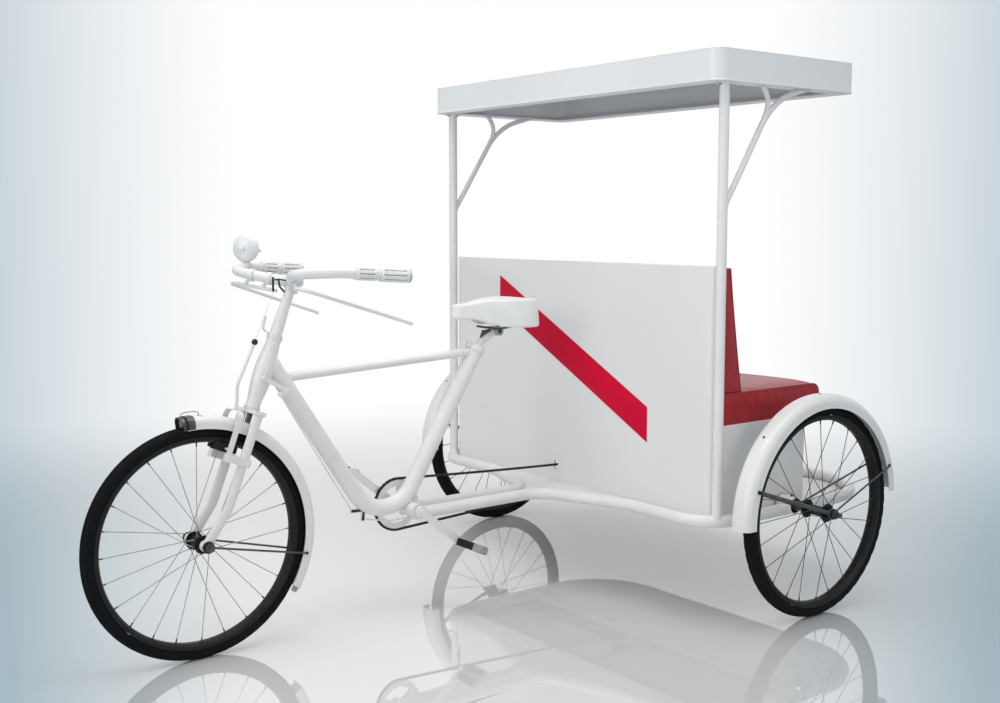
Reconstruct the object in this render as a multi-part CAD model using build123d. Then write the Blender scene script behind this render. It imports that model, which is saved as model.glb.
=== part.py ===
from build123d import *
import os
from math import asin, cos, radians, sin, sqrt, tan

# A three-wheeled cycle rickshaw: the rider pedals in front, and two riders sit on a bench that
# faces backwards, under a flat canopy. Millimetres. X runs forward, Y to the left, Z up, and the
# wheels stand on Z = 0. Every x below is measured forward of the rear axle and goes through at().

# ---- Driving dimensions ----
REAR_AXLE_X = -784.0        # the rear axle's place in the part's frame
WHEELBASE = 1768.0
TRACK = 1714.0              # between the middle planes of the rear wheels
FIT = 0.05                  # radial clearance of a shaft that turns in a bore
GAP = 0.2                   # clearance between pieces that are fixed on each other
TURN_GAP = 1.0              # end clearance of a part that turns beside one that doesn't
SOFT_GAP = 0.3              # between a cushion and what holds it

# Wheels: tyre, rim, hub and crossed spokes
TYRE_R = 350.0
TYRE_SECTION_R = 21.0
TYRE_TREAD_ANGLE = 50.0     # round the section, from its crown to the edge of the tread
TYRE_WALL_ANGLE = 100.0     # from its crown to the widest edge of its side
TYRE_SEAT_DROP = 18.0       # from the middle of the section in to its seat in the rim
RIM_WELL_DEPTH = 12.0       # from the seat in to the rim's inner face
RIM_FLANGE_H = 6.0          # above the seat
RIM_FLANGE_T = 1.4
RIM_WELL_HALF = 9.0
SPOKES_PER_SIDE = 12
SPOKE_R = 1.2
SPOKE_SEAT_IN = 4.8         # from the hub flange's edge to a spoke's hole
SPOKE_LEAN_ANGLE = 60.0     # between a spoke's two ends, seen along the axle
HUB_FLANGE_T = 3.6
HUB_ROOT = 1.0              # a hub flange's foot inside the barrel's surface

REAR_HUB_FLANGE_R = 30.0
REAR_HUB_FLANGE_Y = 40.0
REAR_HUB_HALF = 46.0
REAR_HUB_BARREL_R = 17.0
REAR_SPINDLE_R = 8.0

FRONT_HUB_FLANGE_R = 27.0
FRONT_HUB_FLANGE_Y = 31.0
FRONT_HUB_HALF = 40.0
FRONT_HUB_BARREL_R = 20.0
FRONT_SPINDLE_R = 6.0

# Axles
NUT_R = 13.0
NUT_L = 14.0
AXLE_TIP = 16.0             # of axle beyond its nut
FRONT_AXLE_TIP = 6.0
COLLAR_R = 12.0

# Base frame: one bent tube each side, from the bracket shell round to the back
BASE_DROP = 14.0            # the ring's middle below the axle
RING_R = 20.0               # tube radius
RING_TO_WHEEL = 117.0       # from the ring's side to the wheel's middle plane
RING_FRONT_X = 386.0
RING_REAR_X = -530.0
RING_FRONT_BEND = 130.0
RING_REAR_BEND = 300.0
BRANCH_INSET = 20.0         # each branch tube inside the bracket shell's end
BRANCH_STRAIGHT_X = 114.0   # ahead of the ring, where the branch turns out
BRANCH_BEND = 120.0
BRANCH_MEET_Y = 370.0
BRANCH_MEET_BEND = 200.0
LEDGE_T = 4.0
LEDGE_W = 38.0              # inside the body's face
LEDGE_FRONT_W = 59.0        # behind the body's front face
LEDGE_END = 1.0             # the ledge's rear end ahead of the rear panel
GUSSET_OUT = 126.0          # ahead of the ring
BEAM_X = -85.0
BEAM_R = 16.0
BEARING_R = 29.0
BEARING_HALF = 28.0
HANGER_T = 10.0
HANGER_OFFSET = 28.0        # either side of the chain's plane
HANGER_EYE_R = 16.0

# Main frame: a U of one tube with head tube, bracket shell and top tube
MAIN_R = 27.0
MAIN_BEND = 124.0
MAIN_RISE = 28.0            # the U's low run above the ring
MAIN_FLAT = 3.4             # straight run between the U's two bends
DOWN_TUBE_JOIN = 138.5      # above the head tube's foot, where the down tube's line meets its axis
DOWN_TUBE_ANGLE = 56.5      # from level
SEAT_TUBE_ANGLE = 58.5
SEAT_TUBE_H = 504.0         # above the U's low run
TOP_TUBE_R = 14.0
TOP_TUBE_FRONT_H = 78.0     # above the head tube's foot
TOP_TUBE_REAR_DROP = 16.0   # below the seat tube's end
SHELL_BACK = 21.0           # behind the corner of the seat tube
SHELL_RISE = 12.5           # above the ring
SHELL_R = 22.0
SHELL_HALF = 60.0

# Steering
HEAD_ANGLE = 69.0
FORK_OFFSET = 31.0
HEAD_OVER_TYRE = 38.0       # the head tube's foot above the front tyre
HEAD_TUBE_H = 198.0
HEAD_END_R = 22.0
HEAD_MID_R = 30.0
HEAD_END_H = 17.0           # straight end of the head tube, along its axis
HEAD_TAPER_H = 63.5         # the taper between an end and the barrel
HEAD_BORE_R = 18.0
CUP_H = 9.0
CUP_R = 23.0
STEERER_R = 14.0
CROWN_H = 12.0
CROWN_DEPTH = 36.0
CROWN_SIDE = 2.0            # beyond the fork leg
FORK_STAND = 14.0           # the middle of a leg beyond the hub's end
FORK_LEG_DEPTH = 15.0       # half sizes of the oval leg
FORK_LEG_WIDTH = 10.0
FORK_BEND_H = 100.0         # above the axle
FORK_BEND = 120.0
DROPOUT_R = 17.0
STEM_FOOT_R = 19.0
STEM_R = 15.5
STEM_FOOT_H = 14.0
STEM_TAPER_H = 110.0
STEERER_IN_STEM = 30.0
BAR_H = 170.0               # the bar's middle above the head tube
BAR_R = 15.5
BAR_CLAMP_R = 22.5
BAR_CLAMP_HALF = 22.0
# The left half of the bar from its middle out: ahead of the clamp, to the left, above the clamp
BAR_POINTS = [(0.0, 44.0, 0.0), (112.0, 190.0, 33.0), (-4.0, 284.0, 38.0), (-209.0, 333.0, 25.0)]
BAR_BENDS = [60.0, 60.0, 100.0]
GRIP_R = 21.0
GRIP_LENGTH = 176.0
GRIP_CAP = 4.0

# Controls on the bar
LEVER_POINTS = [(22.0, 62.0, -28.0), (116.0, 235.0, -2.0), (-240.0, 284.0, -118.0)]
LEVER_BEND = 35.0
LEVER_R = 5.5
LEVER_CLIP_R = 20.0
LEVER_CLIP_L = 12.0
LEVER_CLIP_SHARES = (0.28, 0.6)     # of the bar's run from the clamp to its bend
BELL_R = 45.5
BELL_BACK = 16.0
BELL_STEM_R = 8.0
BELL_RIM_H = 7.0
BELL_SHOULDER_R = 37.5
BELL_SHOULDER_H = 18.0
BELL_CROWN_R = 18.5
BELL_DOME = 25.0
BELL_ANGLE = 35.0           # its face, from forward to the left
BELL_BAR_SHARE = 0.76       # along the right half's run from its front bend to the grip
BELL_RISE = 62.5
BELL_CLIP_L = 18.0
LAMP_STRIP_W = 11.0
LAMP_STRIP_T = 3.0
LAMP_STRIP = [(46.0, 4.0), (50.0, 46.0)]    # ahead of the steering axis, above the ring
LAMP_STRIP_BEND = 14.0
LAMP_RING_T = 4.0
LAMP_RING_H = 5.0

# Front brake: a rod down to an inverted U of flat bar, guided by a clamp on each fork leg
STIRRUP_IN = 4.0            # inside the middle of the fork's leg
STIRRUP_OUT = 51.0          # ahead of the steering axis
STIRRUP_OVER_TYRE = 52.0
STIRRUP_UNDER_RIM = 49.0    # its ends inside the rim
STIRRUP_BEND = 22.0
STIRRUP_W = 17.0
STIRRUP_T = 4.0
BRAKE_CLAMP_IN = 37.0       # inside the rim
BRAKE_CLAMP_H = 24.0
BRAKE_CLAMP_WALL = 4.0
BRAKE_PAD_IN = 13.0         # inside the rim
BRAKE_PAD_Y = 14.0
BRAKE_PAD_W = 11.0
BRAKE_PAD_L = 40.0
BRAKE_PAD_H = 9.0
BRAKE_ARM = 6.0
BRAKE_ROD_R = 5.0
BRAKE_ROD = [(58.0, 210.0), (69.0, 73.0), (54.0, 28.0), (51.0, 0.0)]    # ahead, above the stirrup
BRAKE_ROD_BENDS = [60.0, 25.0]
KNOB_R = 8.5

# Drive
CHAIN_STAND = 7.0           # the chain's middle outside the bracket shell's end
CHAIN_HALF_W = 3.5
CHAIN_HALF_T = 4.0
RING_PITCH_R = 87.0
SPROCKET_PITCH_R = 36.5
CHAIN_SAG = 5.0
CHAIN_SEAT = 0.3            # between the chain and the wheels that it runs round
SPIDER_ARMS = 3
CHAINRING_T = 4.0
CHAINRING_RIM = 20.0
SPIDER_HALF_W = 9.0
SPROCKET_T = 4.0
BOSS_R = 20.0
CRANK_LENGTH = 205.0
CRANK_ANGLE = 38.5          # of the right crank, above forward
CRANK_STAND = 16.0          # inner face of each arm outside the bracket shell's end
CRANK_T = 12.0
CRANK_HALF_W = 12.0
CRANK_END_R = 13.8
CRANK_AXLE_R = 8.0
PEDAL_SPINDLE_R = 5.0
PEDAL_STAND = 6.0           # inner face of the pedal outside the arm
PEDAL_LENGTH = 94.0
PEDAL_DEPTH = 66.0
PEDAL_H = 26.0
PEDAL_PLATE_T = 4.0
PEDAL_BARREL_R = 9.0
PEDAL_PAD = 20.0
PEDAL_TILT_ANGLE = 25.0     # its front edge up as it parks

# Rear brake linkage: (x, z) places from the head tube's foot and from the down tube's low corner
LINK_Y = 36.0
LINK_T = 5.0
LINK_HALF_W = 7.0
LINK_BOSS_R = 10.0
LINK_BOSS_IN = 18.0
LINK_ROD_R = 2.6
LINK_CLIP_R = 5.0
LINK_CLIP_IN = 9.0
LINK_PIVOT = (-103.0, 42.0)
LINK_ARM = (-20.0, 88.0)
LINK_LOBE = (-74.0, 34.0)
LINK_ROD_TOP = (-59.0, 186.0)
LOW_PIVOT = (10.5, 2.0)
LOW_FRONT = (52.5, 4.0)
LOW_FOOT = (13.5, -28.0)
LOW_ROD_BEND_PLACE = (-93.5, -49.0)
LOW_ROD_REAR_X = -40.0
LOW_ROD_REAR_DROP = 24.0    # below the ring's middle
LOW_ROD_BEND = 40.0

# Bodywork
WALL_BACK = 52.0            # front face behind the ring's front run
WALL_T = 8.0
WALL_H = 812.0              # above the ring's middle
WALL_CORNER_R = 35.0
BODY_INSET = 37.0           # the body's side face inside the ring's side run
SLOT_W = 20.0
SLOT_H = 30.0
SLOT_DEPTH = 64.0
SEAT_BOX_DEPTH = 452.0      # from the wall's face to the rear panel's
SEAT_BASE_H = 301.0         # above the ring's middle
DECK_T = 12.0
CUSHION_H = 112.0
CUSHION_OVERHANG = 84.0     # behind the rear panel
CUSHION_SIDE = 3.0          # inside the body's side face
CUSHION_ROUND = 34.0
BACKREST_TOP_DROP = 5.0     # below the wall's edge
BACKREST_TOP_T = 76.0
BACKREST_FOOT_T = 136.0
BOARD_T = 6.0
BOARD_SEAT = 9.0            # how far the board's edge reaches under the tube
AXLE_NOTCH_R = 14.0         # in a side panel, round the drive shaft

# Canopy, and the posts and braces that carry it
POST_BACK = 4.0             # behind the wall's front face
POST_STAND = 1.0            # outside the body's side face
POST_R = 16.0
CANOPY_FRONT_OUT = 68.0     # ahead of the posts
CANOPY_SIDE_OUT = 36.0      # outside the posts' middle
CANOPY_DEPTH = 676.0
CANOPY_OVER_SEAT = 1079.0
CANOPY_H = 100.0
CANOPY_CORNER_R = 40.0
CANOPY_INNER_CORNER_R = 15.0
CANOPY_WALL = 4.0
CANOPY_LIP = 62.0
CANOPY_EDGE_ROUND = 3.0
BRACE_R = 9.5
# A brace's two curves, from the post's middle and the canopy's underside: (x, z)
BRACE_MAIN = [(4.0, -398.0), (-226.0, -43.0), (-430.0, 15.0)]
BRACE_MAIN_BEND = 260.0
BRACE_BRANCH_R = 8.6
BRACE_BRANCH = [(-176.0, -122.0), (-214.0, -48.0), (-160.0, 22.0)]
BRACE_BRANCH_BEND = 60.0

# Mudguards
GUARD_T = 1.6
REAR_GUARD_OVER_TYRE = 35.0
REAR_GUARD_HALF = 38.0
REAR_GUARD_DROP = 42.0      # height of the section, crown to edge
REAR_GUARD_SHOULDER = 26.0
REAR_GUARD_START_ANGLE = -1.5       # above forward
REAR_GUARD_END_ANGLE = 176.0
FRONT_GUARD_OVER_TYRE = 27.0
FRONT_GUARD_HALF = 29.0
FRONT_GUARD_DROP = 34.0
FRONT_GUARD_SHOULDER = 20.0
FRONT_GUARD_START_ANGLE = 84.0
FRONT_GUARD_END_ANGLE = 211.0
GUARD_TIP_ANGLE = 6.0       # of guard that the rubber tip covers
GUARD_TIP_OUT_ANGLE = 2.0   # of rubber tip beyond the guard's end
GUARD_TIP_T = 2.5
GUARD_BRACKET_R = 9.0
GUARD_BRACKET_L = 60.0
STAY_R = 3.2
STRUT_R = 6.5               # the stout front stay of each rear guard
STAY_EYE_R = 17.0
STAY_EYE_HALF = 3.7
STAY_EYE_IN = 1.6           # how far a stay runs into its eye
STAY_STRAIGHT = 45.0        # of a front stay, before it turns in to the guard
REAR_STAY_IN = 37.0         # from a rear guard's crown in to a stay's end
FRONT_STAY_IN = 29.0
REAR_STRUT_ANGLE = 18.5     # above forward
REAR_STAY_ANGLE = 161.0
FRONT_STAY_ANGLE = 193.5
OUTER_EYE_OUT = 14.0        # from the hub's end to the middle of the outer eye

# Saddle and its post
SADDLE_NOSE_BACK = 182.0    # behind the bracket shell's middle
SADDLE_LENGTH = 309.0
SADDLE_NOSE_R = 27.0
SADDLE_REAR_R = 58.0
SADDLE_HALF_WIDTH = 110.0
SADDLE_OVER_TUBE = 63.0     # its underside above the seat tube's end
SADDLE_NOSE_LIFT = 37.0     # the nose's underside above the saddle's
SADDLE_NOSE_H = 42.0
SADDLE_H = 97.0
SADDLE_FLARE_BACK = 121.0   # from the nose to where it widens
SADDLE_ROUND = 14.0
SADDLE_TRIM = 1.0           # the side outline beyond the plan's
SEAT_POST_R = 12.5
SEAT_POST_IN = 90.0
SEAT_POST_BEND = 60.0
SADDLE_CLAMP_BACK = 183.0   # behind the nose
SADDLE_CLAMP_R = 15.0
SADDLE_CLAMP_HALF = 26.0


# ---- Places worked out from the sizes ----
AXLE_Z = TYRE_R
TYRE_SEAT_R = TYRE_R - TYRE_SECTION_R - TYRE_SEAT_DROP
RIM_INNER_R = TYRE_SEAT_R - RIM_WELL_DEPTH
RIM_FLANGE_R = TYRE_SEAT_R + RIM_FLANGE_H
WHEEL_Y = TRACK / 2
HUB_INNER_Y = WHEEL_Y - REAR_HUB_HALF
HUB_OUTER_Y = WHEEL_Y + REAR_HUB_HALF

BASE_Z = AXLE_Z - BASE_DROP
RING_HALF_WIDTH = WHEEL_Y - RING_TO_WHEEL
BEARING_OUTER_Y = RING_HALF_WIDTH + BEARING_HALF
BRANCH_Y = SHELL_HALF - BRANCH_INSET
CHAIN_Y = -SHELL_HALF - CHAIN_STAND
CRANK_Y = SHELL_HALF + CRANK_STAND
PEDAL_Y = CRANK_Y + CRANK_T + PEDAL_STAND

LEAN = radians(HEAD_ANGLE)
DOWN_TUBE_LEAN = radians(DOWN_TUBE_ANGLE)
SEAT_TUBE_LEAN = radians(SEAT_TUBE_ANGLE)
STEER_UP = Vector(-cos(LEAN), 0, sin(LEAN))
STEER_FORWARD = Vector(sin(LEAN), 0, cos(LEAN))
HEAD_LOW_Z = AXLE_Z + TYRE_R + HEAD_OVER_TYRE
HEAD_HIGH_Z = HEAD_LOW_Z + HEAD_TUBE_H
HEAD_LOW_X = WHEELBASE - FORK_OFFSET / sin(LEAN) - (HEAD_LOW_Z - AXLE_Z) / tan(LEAN)
BAR_Z = HEAD_HIGH_Z + BAR_H
FORK_LEG_Y = FRONT_HUB_HALF + FORK_STAND
STIRRUP_Y = FORK_LEG_Y - STIRRUP_IN
STIRRUP_TOP = TYRE_R + STIRRUP_OVER_TYRE

MAIN_LOW_Z = BASE_Z + MAIN_RISE
JOIN_Z = HEAD_LOW_Z + DOWN_TUBE_JOIN
JOIN_X = HEAD_LOW_X - DOWN_TUBE_JOIN / tan(LEAN)
DOWN_TUBE_LOW_X = JOIN_X - (JOIN_Z - MAIN_LOW_Z) / tan(DOWN_TUBE_LEAN)
MAIN_BENDS_RUN = MAIN_BEND * (tan(DOWN_TUBE_LEAN / 2) + tan(SEAT_TUBE_LEAN / 2))
SEAT_TUBE_LOW_X = DOWN_TUBE_LOW_X - MAIN_BENDS_RUN - MAIN_FLAT
SEAT_TUBE_TOP_Z = MAIN_LOW_Z + SEAT_TUBE_H
SHELL_X = SEAT_TUBE_LOW_X - SHELL_BACK
SHELL_Z = BASE_Z + SHELL_RISE

LEDGE_TOP_Z = BASE_Z + LEDGE_T / 2
BODY_LOW_Z = LEDGE_TOP_Z + GAP
BODY_HALF_WIDTH = RING_HALF_WIDTH - BODY_INSET
WALL_X = RING_FRONT_X - WALL_BACK
WALL_TOP_Z = BASE_Z + WALL_H
WALL_END_X = WALL_X - WALL_CORNER_R - WALL_T / 2
REAR_PANEL_X = WALL_X - SEAT_BOX_DEPTH
SEAT_BASE_Z = BASE_Z + SEAT_BASE_H
BOARD_TOP_Z = BASE_Z - BEAM_R - GAP
POST_X = WALL_X - POST_BACK
POST_Y = BODY_HALF_WIDTH + POST_R + POST_STAND
CANOPY_FRONT_X = POST_X + CANOPY_FRONT_OUT
CANOPY_REAR_X = CANOPY_FRONT_X - CANOPY_DEPTH
CANOPY_HALF_WIDTH = POST_Y + CANOPY_SIDE_OUT
CANOPY_LOW_Z = SEAT_BASE_Z + CANOPY_OVER_SEAT
CANOPY_TOP_Z = CANOPY_LOW_Z + CANOPY_H

REAR_GUARD_R = TYRE_R + REAR_GUARD_OVER_TYRE
FRONT_GUARD_R = TYRE_R + FRONT_GUARD_OVER_TYRE

SADDLE_NOSE_X = SHELL_X - SADDLE_NOSE_BACK
SADDLE_REAR_X = SADDLE_NOSE_X - SADDLE_LENGTH
SADDLE_FLARE_X = SADDLE_NOSE_X - SADDLE_FLARE_BACK
SADDLE_LOW_Z = SEAT_TUBE_TOP_Z + SADDLE_OVER_TUBE
SADDLE_NOSE_LOW_Z = SADDLE_LOW_Z + SADDLE_NOSE_LIFT
SADDLE_NOSE_TOP_Z = SADDLE_NOSE_LOW_Z + SADDLE_NOSE_H
SADDLE_TOP_Z = SADDLE_LOW_Z + SADDLE_H
SADDLE_CLAMP_X = SADDLE_NOSE_X - SADDLE_CLAMP_BACK
SADDLE_CLAMP_Z = SADDLE_LOW_Z - GAP - SADDLE_CLAMP_R


def at(x, y, z):
    """A point x mm forward of the rear axle, in the part's frame."""
    return Vector(REAR_AXLE_X + x, y, z)


def steer(z, forward=0.0, y=0.0):
    """The point of the steering axis at height z, moved square to the axis by forward."""
    x = WHEELBASE - FORK_OFFSET / sin(LEAN) - (z - AXLE_Z) / tan(LEAN)
    return at(x, y, z) + STEER_FORWARD * forward


# ---- Ways of making shapes ----
def tube(points, radius, bends=()):
    """A round bar along straight runs joined by arcs, one bend radius for each inner point."""
    path = FilletPolyline(*points, radius=list(bends)) if bends else Line(*points)
    return sweep(Plane(origin=path @ 0, z_dir=path % 0) * Circle(radius), path=path)


def rod(start, end, radius):
    """A straight round bar between two points."""
    run = end - start
    standing = (Align.CENTER, Align.CENTER, Align.MIN)
    return Plane(origin=start, z_dir=run) * Cylinder(radius, run.length, align=standing)


def drum(centre, radius, half):
    """A cylinder along Y about a centre point."""
    side = Vector(0, half, 0)
    return rod(centre - side, centre + side, radius)


def turned(profile, arc=360.0):
    """A solid turned about the Y axis from (radius, y) corners, from +X down towards -Z."""
    return revolve(make_face(Polyline(*profile, close=True).edges()), Axis.Y, arc)


def turned_up(profile, foot, up):
    """A solid turned about a line that rises from foot, from (radius, height) corners."""
    face = make_face(Polyline(*[(r, 0, h) for r, h in profile], close=True).edges())
    return Plane(origin=foot, z_dir=up) * revolve(face, Axis.Z, 360.0)


def block(low, high):
    """A box between two opposite corners."""
    size = high - low
    return Pos(*((low + high) * 0.5)) * Box(size.X, size.Y, size.Z)


def mirrored(shape):
    return mirror(shape, Plane.XZ)


# ---- Wheels, each made about the origin with its axle along Y ----
def tyre():
    """A ring whose section has straight sides between corners on the tyre's round."""
    middle = TYRE_R - TYRE_SECTION_R
    seat_half = sqrt(TYRE_SECTION_R ** 2 - TYRE_SEAT_DROP ** 2)
    half = [(TYRE_SEAT_R, seat_half)]
    for angle in (TYRE_WALL_ANGLE, TYRE_TREAD_ANGLE):
        half.append((middle + TYRE_SECTION_R * cos(radians(angle)), TYRE_SECTION_R * sin(radians(angle))))
    return turned(half + [(TYRE_R, 0)] + [(r, -y) for r, y in reversed(half)])


def rim():
    drop = TYRE_R - TYRE_SECTION_R - RIM_FLANGE_R
    channel = sqrt(TYRE_SECTION_R ** 2 - drop ** 2) + 2 * GAP
    outer = channel + RIM_FLANGE_T
    shoulder_r = (RIM_INNER_R + TYRE_SEAT_R) / 2
    floor_r = TYRE_SEAT_R - GAP
    half = [(RIM_INNER_R, RIM_WELL_HALF), (shoulder_r, outer), (RIM_FLANGE_R, outer), (RIM_FLANGE_R, channel),
            (floor_r, channel)]
    return turned(half + [(r, -y) for r, y in reversed(half)])


def hub(bore_r, barrel_r, flange_r, flange_y, half):
    inner = flange_y - HUB_FLANGE_T / 2
    outer = flange_y + HUB_FLANGE_T / 2
    right = [(bore_r, half), (barrel_r, half), (barrel_r, outer), (flange_r, outer), (flange_r, inner),
             (barrel_r - HUB_ROOT, inner)]
    return turned(right + [(r, -y) for r, y in reversed(right)])


def spokes(flange_r, flange_y):
    """Crossed spokes: on each flange every second one leans the other way, on its other face."""
    pitch = 360.0 / SPOKES_PER_SIDE
    seat_r = flange_r - SPOKE_SEAT_IN
    end_r = RIM_INNER_R + SPOKE_R
    made = []
    for side in (1, -1):
        for n in range(SPOKES_PER_SIDE):
            way = 1 if n % 2 else -1
            start = n * pitch + (pitch / 2 if side < 0 else 0)
            end = start + way * SPOKE_LEAN_ANGLE
            y = side * (flange_y + way * HUB_FLANGE_T / 2)
            a = Vector(seat_r * cos(radians(start)), y, seat_r * sin(radians(start)))
            b = Vector(end_r * cos(radians(end)), side * RIM_WELL_HALF / 3, end_r * sin(radians(end)))
            made.append(rod(a, b, SPOKE_R))
    return made


def wire_wheel(bore_r, barrel_r, flange_r, flange_y, half):
    body = hub(bore_r, barrel_r, flange_r, flange_y, half) + spokes(flange_r, flange_y)
    return body + rim()


def rear_wire_wheel():
    return wire_wheel(REAR_SPINDLE_R + FIT, REAR_HUB_BARREL_R, REAR_HUB_FLANGE_R, REAR_HUB_FLANGE_Y,
                      REAR_HUB_HALF)


def front_wire_wheel():
    return wire_wheel(FRONT_SPINDLE_R + FIT, FRONT_HUB_BARREL_R, FRONT_HUB_FLANGE_R, FRONT_HUB_FLANGE_Y,
                      FRONT_HUB_HALF)


# ---- Base frame ----
def half_ring_points():
    """The left tube's corners, from the bracket shell back, out, round the corner and in again."""
    plan = [(SHELL_X, BRANCH_Y), (RING_FRONT_X + BRANCH_STRAIGHT_X, BRANCH_Y), (RING_FRONT_X, BRANCH_MEET_Y),
            (RING_FRONT_X, RING_HALF_WIDTH), (RING_REAR_X, RING_HALF_WIDTH), (RING_REAR_X, 0)]
    return [at(x, y, BASE_Z) for x, y in plan]


def half_ring_bends():
    return [BRANCH_BEND, BRANCH_MEET_BEND, RING_FRONT_BEND, RING_REAR_BEND]


def half_ring():
    return tube(half_ring_points(), RING_R, half_ring_bends())


def ledge():
    """The plate welded inside the ring: a gusset across the front and a ledge down each side."""
    path = FilletPolyline(*half_ring_points(), radius=half_ring_bends())
    closing = Polyline(path @ 1, at(SHELL_X, 0, BASE_Z), path @ 0)
    half = extrude(make_face(path.edges() + closing.edges()), LEDGE_T / 2, both=True)
    over = -BRANCH_Y
    rear = REAR_PANEL_X + WALL_T + LEDGE_END
    kept = block(at(rear, over, 0), at(RING_FRONT_X + GUSSET_OUT, RING_HALF_WIDTH, CANOPY_TOP_Z))
    far = at(WALL_X - LEDGE_FRONT_W, BODY_HALF_WIDTH - LEDGE_W, CANOPY_TOP_Z)
    opening = block(at(RING_REAR_X, over, 0), far)
    return (half & kept) - opening


def bearing_housing():
    return drum(at(0, RING_HALF_WIDTH, AXLE_Z), BEARING_R, BEARING_HALF)


def hangers():
    """Two plates that drop from the cross beam and carry the inner end of the drive shaft."""
    made = []
    for side in (1, -1):
        y = CHAIN_Y + side * HANGER_OFFSET
        low = at(BEAM_X, y - HANGER_T / 2, BASE_Z - BEAM_R / 2)
        plate = block(low, at(0, y + HANGER_T / 2, AXLE_Z + BEAM_R / 2))
        made.append(plate + drum(at(0, y, AXLE_Z), HANGER_EYE_R, HANGER_T / 2))
    return made


def base_frame():
    left = half_ring() + ledge() + bearing_housing()
    beam = drum(at(BEAM_X, 0, BASE_Z), BEAM_R, RING_HALF_WIDTH)
    whole = left + mirrored(left) + beam + hangers()
    whole -= drum(at(SHELL_X, 0, SHELL_Z), SHELL_R, SHELL_HALF)
    return whole - drum(at(0, 0, AXLE_Z), REAR_SPINDLE_R + FIT, RING_HALF_WIDTH + 2 * BEARING_HALF)


# ---- Main frame ----
def down_tube_point(z):
    return at(DOWN_TUBE_LOW_X + (z - MAIN_LOW_Z) / tan(DOWN_TUBE_LEAN), 0, z)


def main_corners():
    """The U's corners from the steering axis down, without the seat tube's end."""
    return [down_tube_point(JOIN_Z), at(DOWN_TUBE_LOW_X, 0, MAIN_LOW_Z), at(SEAT_TUBE_LOW_X, 0, MAIN_LOW_Z)]


def seat_tube_point(z):
    return at(SEAT_TUBE_LOW_X - (z - MAIN_LOW_Z) / tan(SEAT_TUBE_LEAN), 0, z)


def head_tube():
    foot = steer(HEAD_LOW_Z)
    length = (steer(HEAD_HIGH_Z) - foot).length
    swell = HEAD_END_H + HEAD_TAPER_H
    profile = [(0, 0), (HEAD_END_R, 0), (HEAD_END_R, HEAD_END_H), (HEAD_MID_R, swell), (HEAD_MID_R, length - swell),
               (HEAD_END_R, length - HEAD_END_H), (HEAD_END_R, length), (0, length)]
    return turned_up(profile, foot, STEER_UP)


def seat_post_axis():
    top = seat_tube_point(SEAT_TUBE_TOP_Z)
    run = top - seat_tube_point(MAIN_LOW_Z)
    return top, run * (1 / run.length)


def main_frame():
    corners = main_corners() + [seat_tube_point(SEAT_TUBE_TOP_Z)]
    frame = tube(corners, MAIN_R, [MAIN_BEND, MAIN_BEND]) + head_tube()
    top_front = down_tube_point(HEAD_LOW_Z + TOP_TUBE_FRONT_H)
    top_rear = seat_tube_point(SEAT_TUBE_TOP_Z - TOP_TUBE_REAR_DROP)
    frame += rod(top_front, top_rear, TOP_TUBE_R)
    frame += drum(at(SHELL_X, 0, SHELL_Z), SHELL_R, SHELL_HALF)
    frame -= drum(at(SHELL_X, 0, SHELL_Z), CRANK_AXLE_R + FIT, 2 * SHELL_HALF)
    frame -= rod(steer(HEAD_LOW_Z - HEAD_END_R), steer(HEAD_HIGH_Z + HEAD_END_R), HEAD_BORE_R)
    top, up = seat_post_axis()
    return frame - rod(top - up * (SEAT_POST_IN + GAP), top + up * MAIN_R, SEAT_POST_R + GAP)


def headset_cups():
    """A bearing ring under and over the head tube, each with a skirt inside its bore."""
    made = []
    for end, way in ((HEAD_LOW_Z, -1), (HEAD_HIGH_Z, 1)):
        foot = steer(end)
        out = STEER_UP * way
        cup = rod(foot, foot + out * CUP_H, CUP_R) + rod(foot - out * CUP_H, foot, HEAD_BORE_R - GAP)
        made.append(cup - rod(foot - out * 2 * CUP_H, foot + out * 2 * CUP_H, STEERER_R + FIT))
    return Compound(children=made)


# ---- Steering ----
def crown_plane():
    foot = steer(HEAD_LOW_Z) - STEER_UP * (CUP_H + GAP + CROWN_H / 2)
    return Plane(origin=foot, x_dir=STEER_FORWARD, z_dir=STEER_UP)


def fork_leg_path():
    top = crown_plane().origin + Vector(0, FORK_LEG_Y, 0)
    knee = steer(AXLE_Z + FORK_BEND_H, 0, FORK_LEG_Y)
    return FilletPolyline(top, knee, at(WHEELBASE, FORK_LEG_Y, AXLE_Z), radius=FORK_BEND)


def fork_leg(grow=0.0):
    path = fork_leg_path()
    section = Ellipse(FORK_LEG_DEPTH + grow, FORK_LEG_WIDTH + grow)
    return sweep(Plane(origin=path @ 0, x_dir=STEER_FORWARD, z_dir=path % 0) * section, path=path)


def fork():
    leg = fork_leg() + drum(at(WHEELBASE, FORK_LEG_Y, AXLE_Z), DROPOUT_R, FORK_LEG_WIDTH)
    half_width = FORK_LEG_Y + FORK_LEG_WIDTH + CROWN_SIDE
    crown = crown_plane() * Box(CROWN_DEPTH, 2 * half_width, CROWN_H)
    steerer_top = steer(HEAD_HIGH_Z) + STEER_UP * (CUP_H + GAP + STEERER_IN_STEM)
    body = crown + leg + mirrored(leg) + rod(crown_plane().origin, steerer_top, STEERER_R)
    return body - drum(at(WHEELBASE, 0, AXLE_Z), FRONT_SPINDLE_R + GAP, 2 * FORK_LEG_Y)


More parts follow.
